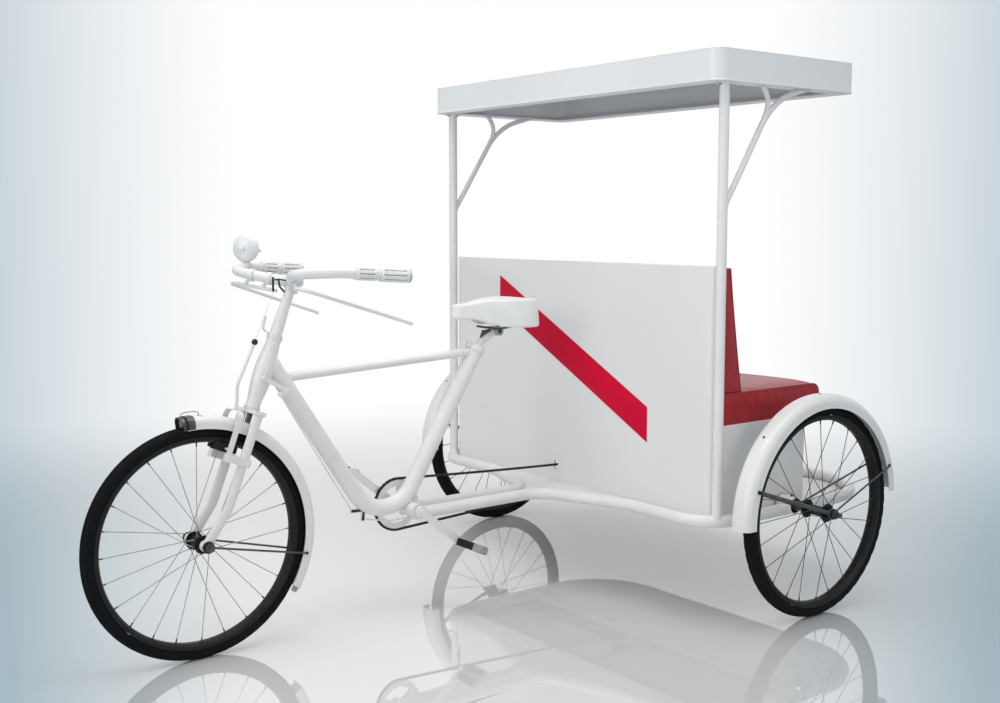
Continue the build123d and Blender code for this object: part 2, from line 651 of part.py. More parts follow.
def stem():
    foot = steer(HEAD_HIGH_Z) + STEER_UP * (CUP_H + GAP)
    length = (steer(BAR_Z) - foot).length
    profile = [(0, 0), (STEM_FOOT_R, 0), (STEM_FOOT_R, STEM_FOOT_H), (STEM_R, STEM_TAPER_H), (STEM_R, length),
               (0, length)]
    body = turned_up(profile, foot, STEER_UP) + drum(steer(BAR_Z), BAR_CLAMP_R, BAR_CLAMP_HALF)
    body -= rod(foot - STEER_UP, foot + STEER_UP * (STEERER_IN_STEM + GAP), STEERER_R + GAP)
    return body - drum(steer(BAR_Z), BAR_R + GAP, 2 * BAR_CLAMP_HALF)


def bar_point(place):
    x, y, z = place
    return steer(BAR_Z) + Vector(x, y, z)


def handlebar():
    middle = steer(BAR_Z)
    half = tube([middle] + [bar_point(p) for p in BAR_POINTS], BAR_R, BAR_BENDS)
    return half + mirrored(half)


def grip():
    end = bar_point(BAR_POINTS[-1])
    run = end - bar_point(BAR_POINTS[-2])
    out = run * (1 / run.length)
    body = rod(end - out * (GRIP_LENGTH - GRIP_CAP), end + out * GRIP_CAP, GRIP_R)
    return body - rod(end - out * GRIP_LENGTH, end + out * GAP, BAR_R + GAP)


def brake_lever():
    """A bent rod lever below the bar, carried by two clips on the bar's forward run."""
    lever = tube([bar_point(p) for p in LEVER_POINTS], LEVER_R, [LEVER_BEND])
    start = bar_point(BAR_POINTS[0])
    run = bar_point(BAR_POINTS[1]) - start
    along = run * (1 / run.length)
    low_start = bar_point(LEVER_POINTS[0])
    low_run = bar_point(LEVER_POINTS[1]) - low_start
    for share in LEVER_CLIP_SHARES:
        seat = start + run * share
        foot = low_start + low_run * share
        clip = rod(seat - along * (LEVER_CLIP_L / 2), seat + along * (LEVER_CLIP_L / 2), LEVER_CLIP_R)
        lever += clip + rod(seat, foot, LEVER_R)
    return lever - rod(start - along * BAR_R, start + run + along * BAR_R, BAR_R + GAP)


def bell():
    front = bar_point(BAR_POINTS[1])
    run = bar_point(BAR_POINTS[2]) - front
    seat = front + run * BELL_BAR_SHARE
    seat = Vector(seat.X, -seat.Y, seat.Z)
    along = Vector(run.X, -run.Y, run.Z) * (1 / run.length)
    centre = seat + Vector(0, 0, BELL_RISE)
    face = Vector(cos(radians(BELL_ANGLE)), sin(radians(BELL_ANGLE)), 0)
    profile = [(0, -BELL_BACK), (BELL_R, -BELL_BACK), (BELL_R, BELL_RIM_H), (BELL_SHOULDER_R, BELL_SHOULDER_H),
               (BELL_CROWN_R, BELL_DOME), (0, BELL_DOME)]
    body = turned_up(profile, centre, face) + rod(seat, centre, BELL_STEM_R)
    half = along * (BELL_CLIP_L / 2)
    body += rod(seat - half, seat + half, LEVER_CLIP_R)
    return body - rod(seat - half * 4, seat + half * 4, BAR_R + GAP)


def strip(plane, points, bend, width, thickness):
    """A flat bar bent along a path on a plane, with its width square to the plane."""
    path = FilletPolyline(*points, radius=bend)
    section = Plane(origin=path @ 0, x_dir=(0, 0, 1), z_dir=path % 0) * Rectangle(width, thickness)
    return plane * sweep(section, path=path)


def lamp_bracket():
    """A ring round the foot of the stem, with a strip that bends forward and up."""
    foot = steer(HEAD_HIGH_Z) + STEER_UP * (CUP_H + 2 * GAP + LAMP_RING_H)
    ring = rod(foot - STEER_UP * LAMP_RING_H, foot, STEM_FOOT_R + GAP + LAMP_RING_T)
    middle = foot - STEER_UP * (LAMP_RING_H / 2)
    side = Plane(origin=middle, x_dir=STEER_FORWARD, z_dir=(0, -1, 0))
    start = (STEM_FOOT_R + GAP + LAMP_RING_T / 2, 0.0)
    body = ring + strip(side, [start] + LAMP_STRIP, LAMP_STRIP_BEND, LAMP_STRIP_W, LAMP_STRIP_T)
    return body - rod(foot - STEER_UP * 2 * LAMP_RING_H, foot + STEER_UP, STEM_FOOT_R + GAP)


# ---- Front brake ----
def steer_foot():
    """The point of the steering axis nearest the front wheel's centre."""
    return at(WHEELBASE, 0, AXLE_Z) - STEER_FORWARD * FORK_OFFSET


def steer_box(forward, y, up):
    """A box in the steering's own directions, from (low, high) pairs measured from steer_foot()."""
    size = [high - low for low, high in (forward, y, up)]
    middle = [(high + low) / 2 for low, high in (forward, y, up)]
    centre = steer_foot() + STEER_FORWARD * middle[0] + Vector(0, middle[1], 0) + STEER_UP * middle[2]
    return Plane(origin=centre, x_dir=STEER_FORWARD, z_dir=STEER_UP) * Box(*size)


def steer_point(forward, y, up):
    return steer_foot() + STEER_FORWARD * forward + Vector(0, y, 0) + STEER_UP * up


def front_brake():
    centre = steer_point(STIRRUP_OUT, 0, 0)
    across = Plane(origin=centre, x_dir=(0, 1, 0), z_dir=STEER_FORWARD)
    low = RIM_INNER_R - STIRRUP_UNDER_RIM
    corners = [(STIRRUP_Y, low), (STIRRUP_Y, STIRRUP_TOP), (-STIRRUP_Y, STIRRUP_TOP), (-STIRRUP_Y, low)]
    body = strip(across, corners, STIRRUP_BEND, STIRRUP_W, STIRRUP_T)
    out = STIRRUP_OUT + STIRRUP_W / 2
    clamp_up = RIM_INNER_R - BRAKE_CLAMP_IN
    clamp_half = BRAKE_CLAMP_H / 2
    pad_up = RIM_INNER_R - BRAKE_PAD_IN
    reach = FORK_LEG_DEPTH + BRAKE_CLAMP_WALL
    pad_half = BRAKE_PAD_L / 2
    for side in (1, -1):
        near = FORK_LEG_Y - FORK_LEG_WIDTH - BRAKE_CLAMP_WALL
        far = FORK_LEG_Y + FORK_LEG_WIDTH + BRAKE_CLAMP_WALL
        ends = sorted((side * near, side * far))
        body += steer_box((-reach, out), ends, (clamp_up - clamp_half, clamp_up + clamp_half))
        pad = sorted((side * BRAKE_PAD_Y, side * (BRAKE_PAD_Y + BRAKE_PAD_W)))
        rise = (pad_up - BRAKE_PAD_H / 2, pad_up + BRAKE_PAD_H / 2)
        body += steer_box((STIRRUP_OUT - pad_half, STIRRUP_OUT + pad_half), pad, rise)
        arm = sorted((side * BRAKE_PAD_Y, side * STIRRUP_Y))
        rise = (pad_up - BRAKE_ARM / 2, pad_up + BRAKE_ARM / 2)
        body += steer_box((STIRRUP_OUT - BRAKE_ARM, STIRRUP_OUT + BRAKE_ARM), arm, rise)
    leg = fork_leg(GAP)
    body = body - leg - mirrored(leg)
    run = [steer_point(forward, 0, STIRRUP_TOP + up) for forward, up in BRAKE_ROD]
    return body + tube(run, BRAKE_ROD_R, BRAKE_ROD_BENDS) + Pos(*run[0]) * Sphere(KNOB_R)


# ---- Mudguards, each made about the origin with its axle along Y ----
def guard(radius, half, drop, shoulder, start, end, inset=0.0, thickness=GUARD_T):
    """A U section, open towards the axle, turned from one angle above forward to another."""
    def corners(out, side):
        return [(radius - drop, -side), (out, -side), (out, side), (radius - drop, side)]
    outer = FilletPolyline(*corners(radius + inset, half + inset), radius=shoulder + inset)
    inner_r = radius + inset - thickness
    inner = FilletPolyline(*corners(inner_r, half + inset - thickness), radius=shoulder + inset - thickness)
    caps = [Line(outer @ 0, inner @ 0), Line(outer @ 1, inner @ 1)]
    face = make_face(outer.edges() + inner.edges() + [cap.edge() for cap in caps])
    return Rot(0, -end, 0) * revolve(face, Axis.Y, end - start)


def rear_mudguard():
    section = (REAR_GUARD_R, REAR_GUARD_HALF, REAR_GUARD_DROP, REAR_GUARD_SHOULDER)
    return Pos(*at(0, WHEEL_Y, AXLE_Z)) * guard(*section, REAR_GUARD_START_ANGLE, REAR_GUARD_END_ANGLE)


def front_mudguard():
    section = (FRONT_GUARD_R, FRONT_GUARD_HALF, FRONT_GUARD_DROP, FRONT_GUARD_SHOULDER)
    return Pos(*at(WHEELBASE, 0, AXLE_Z)) * guard(*section, FRONT_GUARD_START_ANGLE, FRONT_GUARD_END_ANGLE)


def around_axle(x, radius, angle, y):
    """The point at a radius and an angle above forward, from the axle that is x mm ahead."""
    return at(x + radius * cos(radians(angle)), y, AXLE_Z + radius * sin(radians(angle)))


def stay_eye(x, y, bore_r):
    eye = drum(at(x, y, AXLE_Z), STAY_EYE_R, STAY_EYE_HALF)
    return eye, drum(at(x, y, AXLE_Z), bore_r, 2 * STAY_EYE_HALF)


def rear_stays():
    """On each side of a rear wheel, an eye on the axle with a stay forward and a stay back."""
    inner_y = BEARING_OUTER_Y + GAP + STAY_EYE_HALF
    outer_y = HUB_OUTER_Y + OUTER_EYE_OUT
    sides = [(inner_y, WHEEL_Y - REAR_GUARD_HALF, -1, STAY_R),
             (outer_y, WHEEL_Y + REAR_GUARD_HALF, 1, STRUT_R)]
    made = []
    for eye_y, edge_y, way, front_r in sides:
        eye, bore = stay_eye(0, eye_y, REAR_SPINDLE_R + FIT)
        for angle, radius in ((REAR_STRUT_ANGLE, front_r), (REAR_STAY_ANGLE, STAY_R)):
            end = around_axle(0, REAR_GUARD_R - REAR_STAY_IN, angle, edge_y + way * (radius + GAP))
            eye += rod(around_axle(0, STAY_EYE_R - STAY_EYE_IN, angle, eye_y), end, radius)
        made.append(eye - bore)
    return Compound(children=made)


def front_guard_fittings():
    """The bracket under the crown, the rubber tip, and a stay on each side from the axle back."""
    crown_low = crown_plane().origin - STEER_UP * (CROWN_H / 2 + GAP)
    bracket = rod(crown_low, crown_low - STEER_UP * GUARD_BRACKET_L, GUARD_BRACKET_R)
    bracket -= drum(at(WHEELBASE, 0, AXLE_Z), FRONT_GUARD_R + GAP, FRONT_GUARD_HALF)
    section = (FRONT_GUARD_R, FRONT_GUARD_HALF, FRONT_GUARD_DROP, FRONT_GUARD_SHOULDER)
    start = FRONT_GUARD_START_ANGLE - GUARD_TIP_OUT_ANGLE
    tip = guard(*section, start, start + GUARD_TIP_ANGLE, GAP + GUARD_TIP_T, GUARD_TIP_T)
    made = [bracket, Pos(*at(WHEELBASE, 0, AXLE_Z)) * tip]
    eye_y = FORK_LEG_Y + FORK_LEG_WIDTH + GAP + STAY_EYE_HALF
    edge_y = FRONT_GUARD_HALF + GAP + STAY_R
    for side in (1, -1):
        eye, bore = stay_eye(WHEELBASE, side * eye_y, FRONT_SPINDLE_R + GAP)
        points = [around_axle(WHEELBASE, STAY_EYE_R - STAY_EYE_IN, FRONT_STAY_ANGLE, side * eye_y),
                  around_axle(WHEELBASE, STAY_STRAIGHT, FRONT_STAY_ANGLE, side * eye_y),
                  around_axle(WHEELBASE, FRONT_GUARD_R - FRONT_STAY_IN, FRONT_STAY_ANGLE, side * edge_y)]
        made.append(eye + tube(points, STAY_R, [STAY_STRAIGHT]) - bore)
    return Compound(children=made)


# ---- Axles ----
def rear_axle_left():
    """A fixed spindle from the frame's bearing housing, with a collar either side of the hub."""
    inner_eye = BEARING_OUTER_Y + 2 * (GAP + STAY_EYE_HALF)
    outer_eye = HUB_OUTER_Y + OUTER_EYE_OUT - STAY_EYE_HALF - GAP
    nut = HUB_OUTER_Y + OUTER_EYE_OUT + STAY_EYE_HALF + GAP
    inner = at(0, RING_HALF_WIDTH - BEARING_HALF, AXLE_Z)
    body = rod(inner, at(0, nut + NUT_L + AXLE_TIP, AXLE_Z), REAR_SPINDLE_R)
    body += rod(at(0, inner_eye, AXLE_Z), at(0, HUB_INNER_Y - TURN_GAP, AXLE_Z), COLLAR_R)
    body += rod(at(0, HUB_OUTER_Y + TURN_GAP, AXLE_Z), at(0, outer_eye, AXLE_Z), COLLAR_R)
    return body + rod(at(0, nut, AXLE_Z), at(0, nut + NUT_L, AXLE_Z), NUT_R)


def drive_shaft():
    """The driven wheel's shaft: through its hub, the housing and the hangers to the sprocket."""
    outer_eye = HUB_OUTER_Y + OUTER_EYE_OUT - STAY_EYE_HALF - TURN_GAP
    inner_eye = BEARING_OUTER_Y + 2 * (GAP + STAY_EYE_HALF) + TURN_GAP
    nut = HUB_OUTER_Y + OUTER_EYE_OUT + STAY_EYE_HALF + TURN_GAP
    inner_end = CHAIN_Y + HANGER_OFFSET + 3 * HANGER_T
    body = rod(at(0, -(nut + NUT_L + AXLE_TIP), AXLE_Z), at(0, inner_end, AXLE_Z), REAR_SPINDLE_R)
    body += rod(at(0, -HUB_INNER_Y + GAP, AXLE_Z), at(0, -inner_eye, AXLE_Z), COLLAR_R)
    body += rod(at(0, -HUB_OUTER_Y - GAP, AXLE_Z), at(0, -outer_eye, AXLE_Z), COLLAR_R)
    body += rod(at(0, -nut, AXLE_Z), at(0, -(nut + NUT_L), AXLE_Z), NUT_R)
    sprocket_r = SPROCKET_PITCH_R - CHAIN_HALF_T - CHAIN_SEAT
    body += drum(at(0, CHAIN_Y, AXLE_Z), sprocket_r, SPROCKET_T / 2)
    return body + drum(at(0, CHAIN_Y, AXLE_Z), COLLAR_R, HANGER_OFFSET - HANGER_T / 2 - TURN_GAP)


def front_axle():
    """The front spindle, with collars inside the fork and a nut outside each stay."""
    inner = FORK_LEG_Y - FORK_LEG_WIDTH - GAP
    nut = FORK_LEG_Y + FORK_LEG_WIDTH + 2 * (GAP + STAY_EYE_HALF) + GAP
    body = drum(at(WHEELBASE, 0, AXLE_Z), FRONT_SPINDLE_R, nut + NUT_L + FRONT_AXLE_TIP)
    for side in (1, -1):
        hub_end = at(WHEELBASE, side * (FRONT_HUB_HALF + TURN_GAP), AXLE_Z)
        body += rod(hub_end, at(WHEELBASE, side * inner, AXLE_Z), COLLAR_R)
        body += rod(at(WHEELBASE, side * nut, AXLE_Z), at(WHEELBASE, side * (nut + NUT_L), AXLE_Z), NUT_R)
    return body


# ---- Drive ----
def chain_line(side):
    """The chain's upper (1) or lower (-1) run: where it leaves each wheel and meets the other."""
    centres = Vector(REAR_AXLE_X + SHELL_X, CHAIN_Y, SHELL_Z), at(0, CHAIN_Y, AXLE_Z)
    run = centres[0] - centres[1]
    tilt = asin((RING_PITCH_R - SPROCKET_PITCH_R) / run.length)
    along = run * (1 / run.length)
    up = Vector(-along.Z, 0, along.X)
    out = up * (side * cos(tilt)) - along * sin(tilt)
    return centres[1] + out * SPROCKET_PITCH_R, centres[0] + out * RING_PITCH_R


def chain_loop(grow):
    """The chain's outline, moved out from its pitch line by grow; the upper run sags a little."""
    upper = chain_line(1)
    lower = chain_line(-1)
    ring = Vector(REAR_AXLE_X + SHELL_X, CHAIN_Y, SHELL_Z)
    sprocket = at(0, CHAIN_Y, AXLE_Z)

    def out(point, centre):
        arm = point - centre
        return point + arm * (grow / arm.length)

    up_rear, up_front = out(upper[0], sprocket), out(upper[1], ring)
    low_rear, low_front = out(lower[0], sprocket), out(lower[1], ring)
    sag = (up_rear + up_front) * 0.5 - Vector(0, 0, CHAIN_SAG)
    rear = sprocket - Vector(SPROCKET_PITCH_R + grow, 0, 0)
    front = ring + Vector(RING_PITCH_R + grow, 0, 0)
    return [ThreePointArc(up_rear, sag, up_front), ThreePointArc(up_front, front, low_front),
            Line(low_front, low_rear), ThreePointArc(low_rear, rear, up_rear)]


def chain():
    def slab(grow):
        face = make_face([edge.edge() for edge in chain_loop(grow)])
        return extrude(face, CHAIN_HALF_W, dir=(0, 1, 0), both=True)
    return slab(CHAIN_HALF_T) - slab(-CHAIN_HALF_T)


def crank_point(side, length):
    """The point at a length along the right (-1) or left (1) crank, on its inner face."""
    angle = radians(CRANK_ANGLE)
    reach = -side * length
    return at(SHELL_X + reach * cos(angle), side * CRANK_Y, SHELL_Z + reach * sin(angle))


def crank_arm(side):
    """A flat arm from the axle's boss to the pedal's boss, with the pedal's spindle."""
    out = Vector(0, side * CRANK_T, 0)
    inner, outer = crank_point(side, 0), crank_point(side, CRANK_LENGTH)
    along = outer - inner
    middle = (inner + outer + out) * 0.5
    bar = Plane(origin=middle, x_dir=along, z_dir=(0, 1, 0)) * Box(along.length, 2 * CRANK_HALF_W, CRANK_T)
    pedal_end = Vector(0, side * (PEDAL_Y - CRANK_Y + PEDAL_LENGTH - PEDAL_PLATE_T / 2), 0)
    arm = bar + rod(inner, inner + out, BOSS_R) + rod(outer, outer + out, CRANK_END_R)
    return arm + rod(outer, outer + pedal_end, PEDAL_SPINDLE_R)


def crankset():
    """Both cranks on one axle, with the chain's ring and its spider on the right."""
    centre = at(SHELL_X, CHAIN_Y, SHELL_Z)
    outer_r = RING_PITCH_R - CHAIN_HALF_T - CHAIN_SEAT
    ring = drum(centre, outer_r, CHAINRING_T / 2) - drum(centre, outer_r - CHAINRING_RIM, CHAINRING_T)
    body = ring + drum(centre, BOSS_R, CHAINRING_T / 2)
    for n in range(SPIDER_ARMS):
        angle = CRANK_ANGLE + (n + 0.5) * 360.0 / SPIDER_ARMS
        reach = outer_r - CHAINRING_RIM / 2
        tip = Vector(reach * cos(radians(angle)), 0, reach * sin(radians(angle)))
        web = Box(reach, 2 * SPIDER_HALF_W, CHAINRING_T)
        body += Plane(origin=centre + tip * 0.5, x_dir=tip, z_dir=(0, 1, 0)) * web
    body += drum(at(SHELL_X, 0, SHELL_Z), CRANK_AXLE_R, CRANK_Y + CRANK_T)
    body += rod(centre, at(SHELL_X, -CRANK_Y, SHELL_Z), BOSS_R)
    return body + crank_arm(1) + crank_arm(-1)


def pedal(side):
    """Two rubber pads between end plates, on a barrel that turns on the spindle."""
    inner = crank_point(side, CRANK_LENGTH) + Vector(0, side * (PEDAL_Y - CRANK_Y), 0)
    outer = inner + Vector(0, side * PEDAL_LENGTH, 0)
    middle = (inner + outer) * 0.5
    body = rod(inner, outer, PEDAL_BARREL_R)
    for end in (inner, outer - Vector(0, side * PEDAL_PLATE_T, 0)):
        plate = Vector(PEDAL_DEPTH / 2, 0, PEDAL_H / 2)
        y = sorted((end.Y, end.Y + side * PEDAL_PLATE_T))
        low = Vector(end.X - plate.X, y[0], end.Z - plate.Z)
        body += block(low, Vector(end.X + plate.X, y[1], end.Z + plate.Z))
    for way in (1, -1):
        pad = Pos(middle.X + way * (PEDAL_DEPTH - PEDAL_PAD) / 2, middle.Y, middle.Z)
        body += pad * Box(PEDAL_PAD, PEDAL_LENGTH, PEDAL_H)
    body -= rod(inner - Vector(0, side, 0), outer + Vector(0, side, 0), PEDAL_SPINDLE_R + FIT)
    return Pos(*middle) * Rot(0, -PEDAL_TILT_ANGLE, 0) * Pos(*(middle * -1)) * body


# ---- Rear brake linkage ----
def flat_link(a, b):
    """A flat link with round ends between two points of one plane square to Y."""
    along = b - a
    flat = Plane(origin=(a + b) * 0.5, x_dir=along, z_dir=(0, 1, 0))
    bar = flat * Box(along.length, 2 * LINK_HALF_W, LINK_T)
    return bar + drum(a, LINK_HALF_W, LINK_T / 2) + drum(b, LINK_HALF_W, LINK_T / 2)


def rear_brake_linkage():
    """The upper bell crank beside the head tube, the lower one under the bend, and their rods."""
    def high(place, y=LINK_Y):
        return at(HEAD_LOW_X + place[0], y, HEAD_LOW_Z + place[1])

    def low(place):
        return at(DOWN_TUBE_LOW_X + place[0], 0, MAIN_LOW_Z + place[1])

    far_y = LINK_Y + LINK_T
    upper = flat_link(high(LINK_PIVOT), high(LINK_ARM)) + flat_link(high(LINK_PIVOT), high(LINK_LOBE))
    upper += rod(high(LINK_PIVOT, LINK_BOSS_IN), high(LINK_PIVOT, far_y), LINK_BOSS_R)
    upper += rod(high(LINK_ARM), high(LINK_ROD_TOP), LINK_ROD_R)
    upper += rod(high(LINK_ROD_TOP, LINK_CLIP_IN), high(LINK_ROD_TOP, far_y), LINK_CLIP_R)
    upper += rod(high(LINK_LOBE), low(LOW_FRONT), LINK_ROD_R)
    lower = flat_link(low(LOW_PIVOT), low(LOW_FRONT)) + flat_link(low(LOW_PIVOT), low(LOW_FOOT))
    run = [low(LOW_FOOT), low(LOW_ROD_BEND_PLACE), at(LOW_ROD_REAR_X, 0, BASE_Z - LOW_ROD_REAR_DROP)]
    lower += tube(run, LINK_ROD_R, [LOW_ROD_BEND])
    whole = upper + lower - rod(steer(HEAD_LOW_Z), steer(HEAD_HIGH_Z), HEAD_MID_R + GAP)
    return whole - tube(main_corners(), MAIN_R + GAP, [MAIN_BEND])


# ---- Bodywork ----
def front_wall():
    """A sheet across the front whose ends turn back round the corners, with a slot for the chain."""
    def bent(inset):
        side, face, radius = BODY_HALF_WIDTH - inset, WALL_X - inset, WALL_CORNER_R - inset
        corners = [(WALL_END_X, -side), (face, -side), (face, side), (WALL_END_X, side)]
        return FilletPolyline(*[at(x, y, BODY_LOW_Z) for x, y in corners], radius=radius)

    outer, inner = bent(0.0), bent(WALL_T)
    caps = [Line(outer @ 0, inner @ 0), Line(outer @ 1, inner @ 1)]
    sheet = extrude(make_face(outer.edges() + inner.edges() + [cap.edge() for cap in caps]),
                    WALL_TOP_Z - BODY_LOW_Z, dir=(0, 0, 1))
    rear, front = chain_line(1)
    share = (REAR_AXLE_X + WALL_X - rear.X) / (front.X - rear.X)
    middle = rear + (front - rear) * share - Vector(0, 0, 4 * CHAIN_SAG * share * (1 - share))
    return sheet - Pos(*middle) * Box(SLOT_DEPTH, SLOT_W, SLOT_H)


def side_panel():
    """The sheet that closes the seat box on one side, notched over the cross beam and the axle."""
    low = at(REAR_PANEL_X + WALL_T + GAP, BODY_HALF_WIDTH - WALL_T, BODY_LOW_Z)
    panel = block(low, at(WALL_END_X - GAP, BODY_HALF_WIDTH, SEAT_BASE_Z))
    panel -= drum(at(BEAM_X, 0, BASE_Z), BEAM_R + GAP, RING_HALF_WIDTH)
    return panel - drum(at(0, 0, AXLE_Z), AXLE_NOTCH_R, RING_HALF_WIDTH)


def rear_panel():
    low = at(REAR_PANEL_X, -BODY_HALF_WIDTH, BOARD_TOP_Z + GAP)
    return block(low, at(REAR_PANEL_X + WALL_T, BODY_HALF_WIDTH, SEAT_BASE_Z))


def seat_deck():
    """The board that closes the seat box, with its front corners rounded inside the wall."""
    half = BODY_HALF_WIDTH - WALL_T - GAP
    low = at(REAR_PANEL_X + WALL_T + GAP, -half, SEAT_BASE_Z - DECK_T)
    board = block(low, at(WALL_X - WALL_T - GAP, half, SEAT_BASE_Z))
    return fillet(board.edges().filter_by(Axis.Z).group_by(Axis.X)[-1], WALL_CORNER_R)


def seat_cushion():
    half = BODY_HALF_WIDTH - CUSHION_SIDE
    low = at(REAR_PANEL_X - CUSHION_OVERHANG, -half, SEAT_BASE_Z + SOFT_GAP)
    body = block(low, at(WALL_END_X - SOFT_GAP, half, SEAT_BASE_Z + CUSHION_H))
    return fillet(body.edges().group_by(Axis.X)[0], CUSHION_ROUND)


def seat_backrest():
    """A wedge against the front wall, thick at its foot, rounded inside the wall's corners."""
    half = BODY_HALF_WIDTH - WALL_T - SOFT_GAP
    front = WALL_X - WALL_T - SOFT_GAP
    low, high = SEAT_BASE_Z + CUSHION_H + SOFT_GAP, WALL_TOP_Z - BACKREST_TOP_DROP
    corners = [(front, low), (front, high), (front - BACKREST_TOP_T, high), (front - BACKREST_FOOT_T, low)]
    side = make_face(Polyline(*[at(x, -half, z) for x, z in corners], close=True).edges())
    body = extrude(side, 2 * half, dir=(0, 1, 0))
    return fillet(body.edges().filter_by(Axis.Z), WALL_CORNER_R)


def foot_board():
    """The sheet under the back of the ring, its outline a little inside the tube's middle."""
    inset = RING_R - BOARD_SEAT
    side, rear = RING_HALF_WIDTH - inset, RING_REAR_X + inset
    corners = [(REAR_PANEL_X, -side), (rear, -side), (rear, side), (REAR_PANEL_X, side)]
    edge = FilletPolyline(*[at(x, y, BOARD_TOP_Z) for x, y in corners], radius=RING_REAR_BEND - inset)
    face = make_face(edge.edges() + [Line(edge @ 1, edge @ 0).edge()])
    board = extrude(face, BOARD_T, dir=(0, 0, -1))
    ring = tube(half_ring_points(), RING_R + GAP, half_ring_bends())
    return board - ring - mirrored(ring)


# ---- Canopy and what carries it ----
def canopy():
    """A hollow tray turned upside down, with a lip round its open underside."""
    def slab(inset, low, high):
        size_x, size_y = CANOPY_FRONT_X - CANOPY_REAR_X - 2 * inset, 2 * (CANOPY_HALF_WIDTH - inset)
        centre = at((CANOPY_FRONT_X + CANOPY_REAR_X) / 2, 0, low)
        radius = max(CANOPY_CORNER_R - inset, CANOPY_INNER_CORNER_R)
        return extrude(Pos(*centre) * RectangleRounded(size_x, size_y, radius), high - low, dir=(0, 0, 1))

    outer = slab(0.0, CANOPY_LOW_Z, CANOPY_TOP_Z)
    outer = fillet(outer.edges().group_by(Axis.Z)[-1], CANOPY_EDGE_ROUND)
    hollow = slab(CANOPY_WALL, CANOPY_LOW_Z + CANOPY_WALL, CANOPY_TOP_Z - CANOPY_WALL)
    return outer - hollow - slab(CANOPY_LIP, CANOPY_LOW_Z - CANOPY_WALL, CANOPY_LOW_Z + 2 * CANOPY_WALL)


def post():
    """An upright from the ring's tube, coped over it, to the canopy's lip."""
    upright = rod(at(POST_X, POST_Y, BASE_Z), at(POST_X, POST_Y, CANOPY_LOW_Z - GAP), POST_R)
    upright -= tube(half_ring_points(), RING_R + GAP, half_ring_bends())
    return upright.solids().sort_by(Axis.Z)[-1]


def post_brace():
    """A forked bent tube from the post up and back to the canopy's lip."""
    def run(places):
        return [at(POST_X + x, POST_Y, CANOPY_LOW_Z + z) for x, z in places]

    main = tube(run(BRACE_MAIN), BRACE_R, [BRACE_MAIN_BEND])
    branch = tube(run(BRACE_BRANCH), BRACE_BRANCH_R, [BRACE_BRANCH_BEND])
    body = main + branch - rod(at(POST_X, POST_Y, BASE_Z), at(POST_X, POST_Y, CANOPY_TOP_Z), POST_R + GAP)
    far = at(CANOPY_FRONT_X, CANOPY_HALF_WIDTH, 2 * CANOPY_TOP_Z)
    above = block(at(CANOPY_REAR_X, 0, CANOPY_LOW_Z - GAP), far)
    return (body - above).solids().sort_by(SortBy.VOLUME)[-1]


# ---- Saddle ----
def saddle():
    """A nose and two round haunches in plan, cut to a side outline that rises at the back."""
    haunch_y = SADDLE_HALF_WIDTH - SADDLE_REAR_R
    haunch_x = SADDLE_REAR_X + SADDLE_REAR_R
    nose_x = SADDLE_NOSE_X - SADDLE_NOSE_R
    plan = make_hull([edge for place, r in (((nose_x, 0), SADDLE_NOSE_R), ((haunch_x, haunch_y), SADDLE_REAR_R),
                      ((haunch_x, -haunch_y), SADDLE_REAR_R))
                      for edge in (Pos(REAR_AXLE_X + place[0], place[1], 0) * Circle(r)).edges()])
    body = extrude(plan, SADDLE_TOP_Z, dir=(0, 0, 1))
    rear, front = SADDLE_REAR_X - SADDLE_TRIM, SADDLE_NOSE_X + SADDLE_TRIM
    corners = [(rear, SADDLE_LOW_Z + SADDLE_ROUND), (SADDLE_REAR_X + SADDLE_REAR_R, SADDLE_LOW_Z),
               (SADDLE_FLARE_X, SADDLE_LOW_Z), (nose_x, SADDLE_NOSE_LOW_Z), (front, SADDLE_NOSE_LOW_Z),
               (front, SADDLE_NOSE_TOP_Z), (SADDLE_FLARE_X, SADDLE_TOP_Z), (rear, SADDLE_TOP_Z)]
    side = make_face(Polyline(*[at(x, -SADDLE_HALF_WIDTH, z) for x, z in corners], close=True).edges())
    return body & extrude(side, 2 * SADDLE_HALF_WIDTH, dir=(0, 1, 0))


def seat_post():
    """A bent pillar from inside the seat tube to the clamp under the saddle."""
    top, up = seat_post_axis()
    clamp = at(SADDLE_CLAMP_X, 0, SADDLE_CLAMP_Z)
    pillar = tube([top - up * SEAT_POST_IN, top + up * SEAT_POST_R, clamp], SEAT_POST_R, [SEAT_POST_BEND])
    return pillar - drum(clamp, SADDLE_CLAMP_R + GAP, 2 * SADDLE_CLAMP_HALF)


def saddle_clamp():
    return drum(at(SADDLE_CLAMP_X, 0, SADDLE_CLAMP_Z), SADDLE_CLAMP_R, SADDLE_CLAMP_HALF)


# ---- All the pieces ----
def write(name, shape):
    os.makedirs("parts", exist_ok=True)
    shape.label = name
    export_step(shape, f"parts/{name}.step")


def wheel_at(x, y):
    return Pos(*at(x, y, AXLE_Z))


for name, make in (("main_frame", main_frame), ("base_frame", base_frame), ("headset_cups", headset_cups),
                   ("fork", fork), ("stem", stem), ("handlebar", handlebar), ("bell", bell),
                   ("lamp_bracket", lamp_bracket), ("front_brake", front_brake),
                   ("front_mudguard", front_mudguard), ("front_mudguard_fittings", front_guard_fittings),
                   ("front_axle", front_axle), ("rear_axle_left", rear_axle_left), ("drive_shaft", drive_shaft),
                   ("chain", chain), ("crankset", crankset), ("rear_brake_linkage", rear_brake_linkage),
                   ("front_wall", front_wall), ("seat_box_panel", rear_panel), ("seat_deck", seat_deck),
                   ("seat_cushion", seat_cushion), ("seat_backrest", seat_backrest),
                   ("foot_board", foot_board), ("canopy", canopy), ("saddle", saddle),
                   ("saddle_clamp", saddle_clamp), ("seat_post", seat_post)):
    write(name, make())

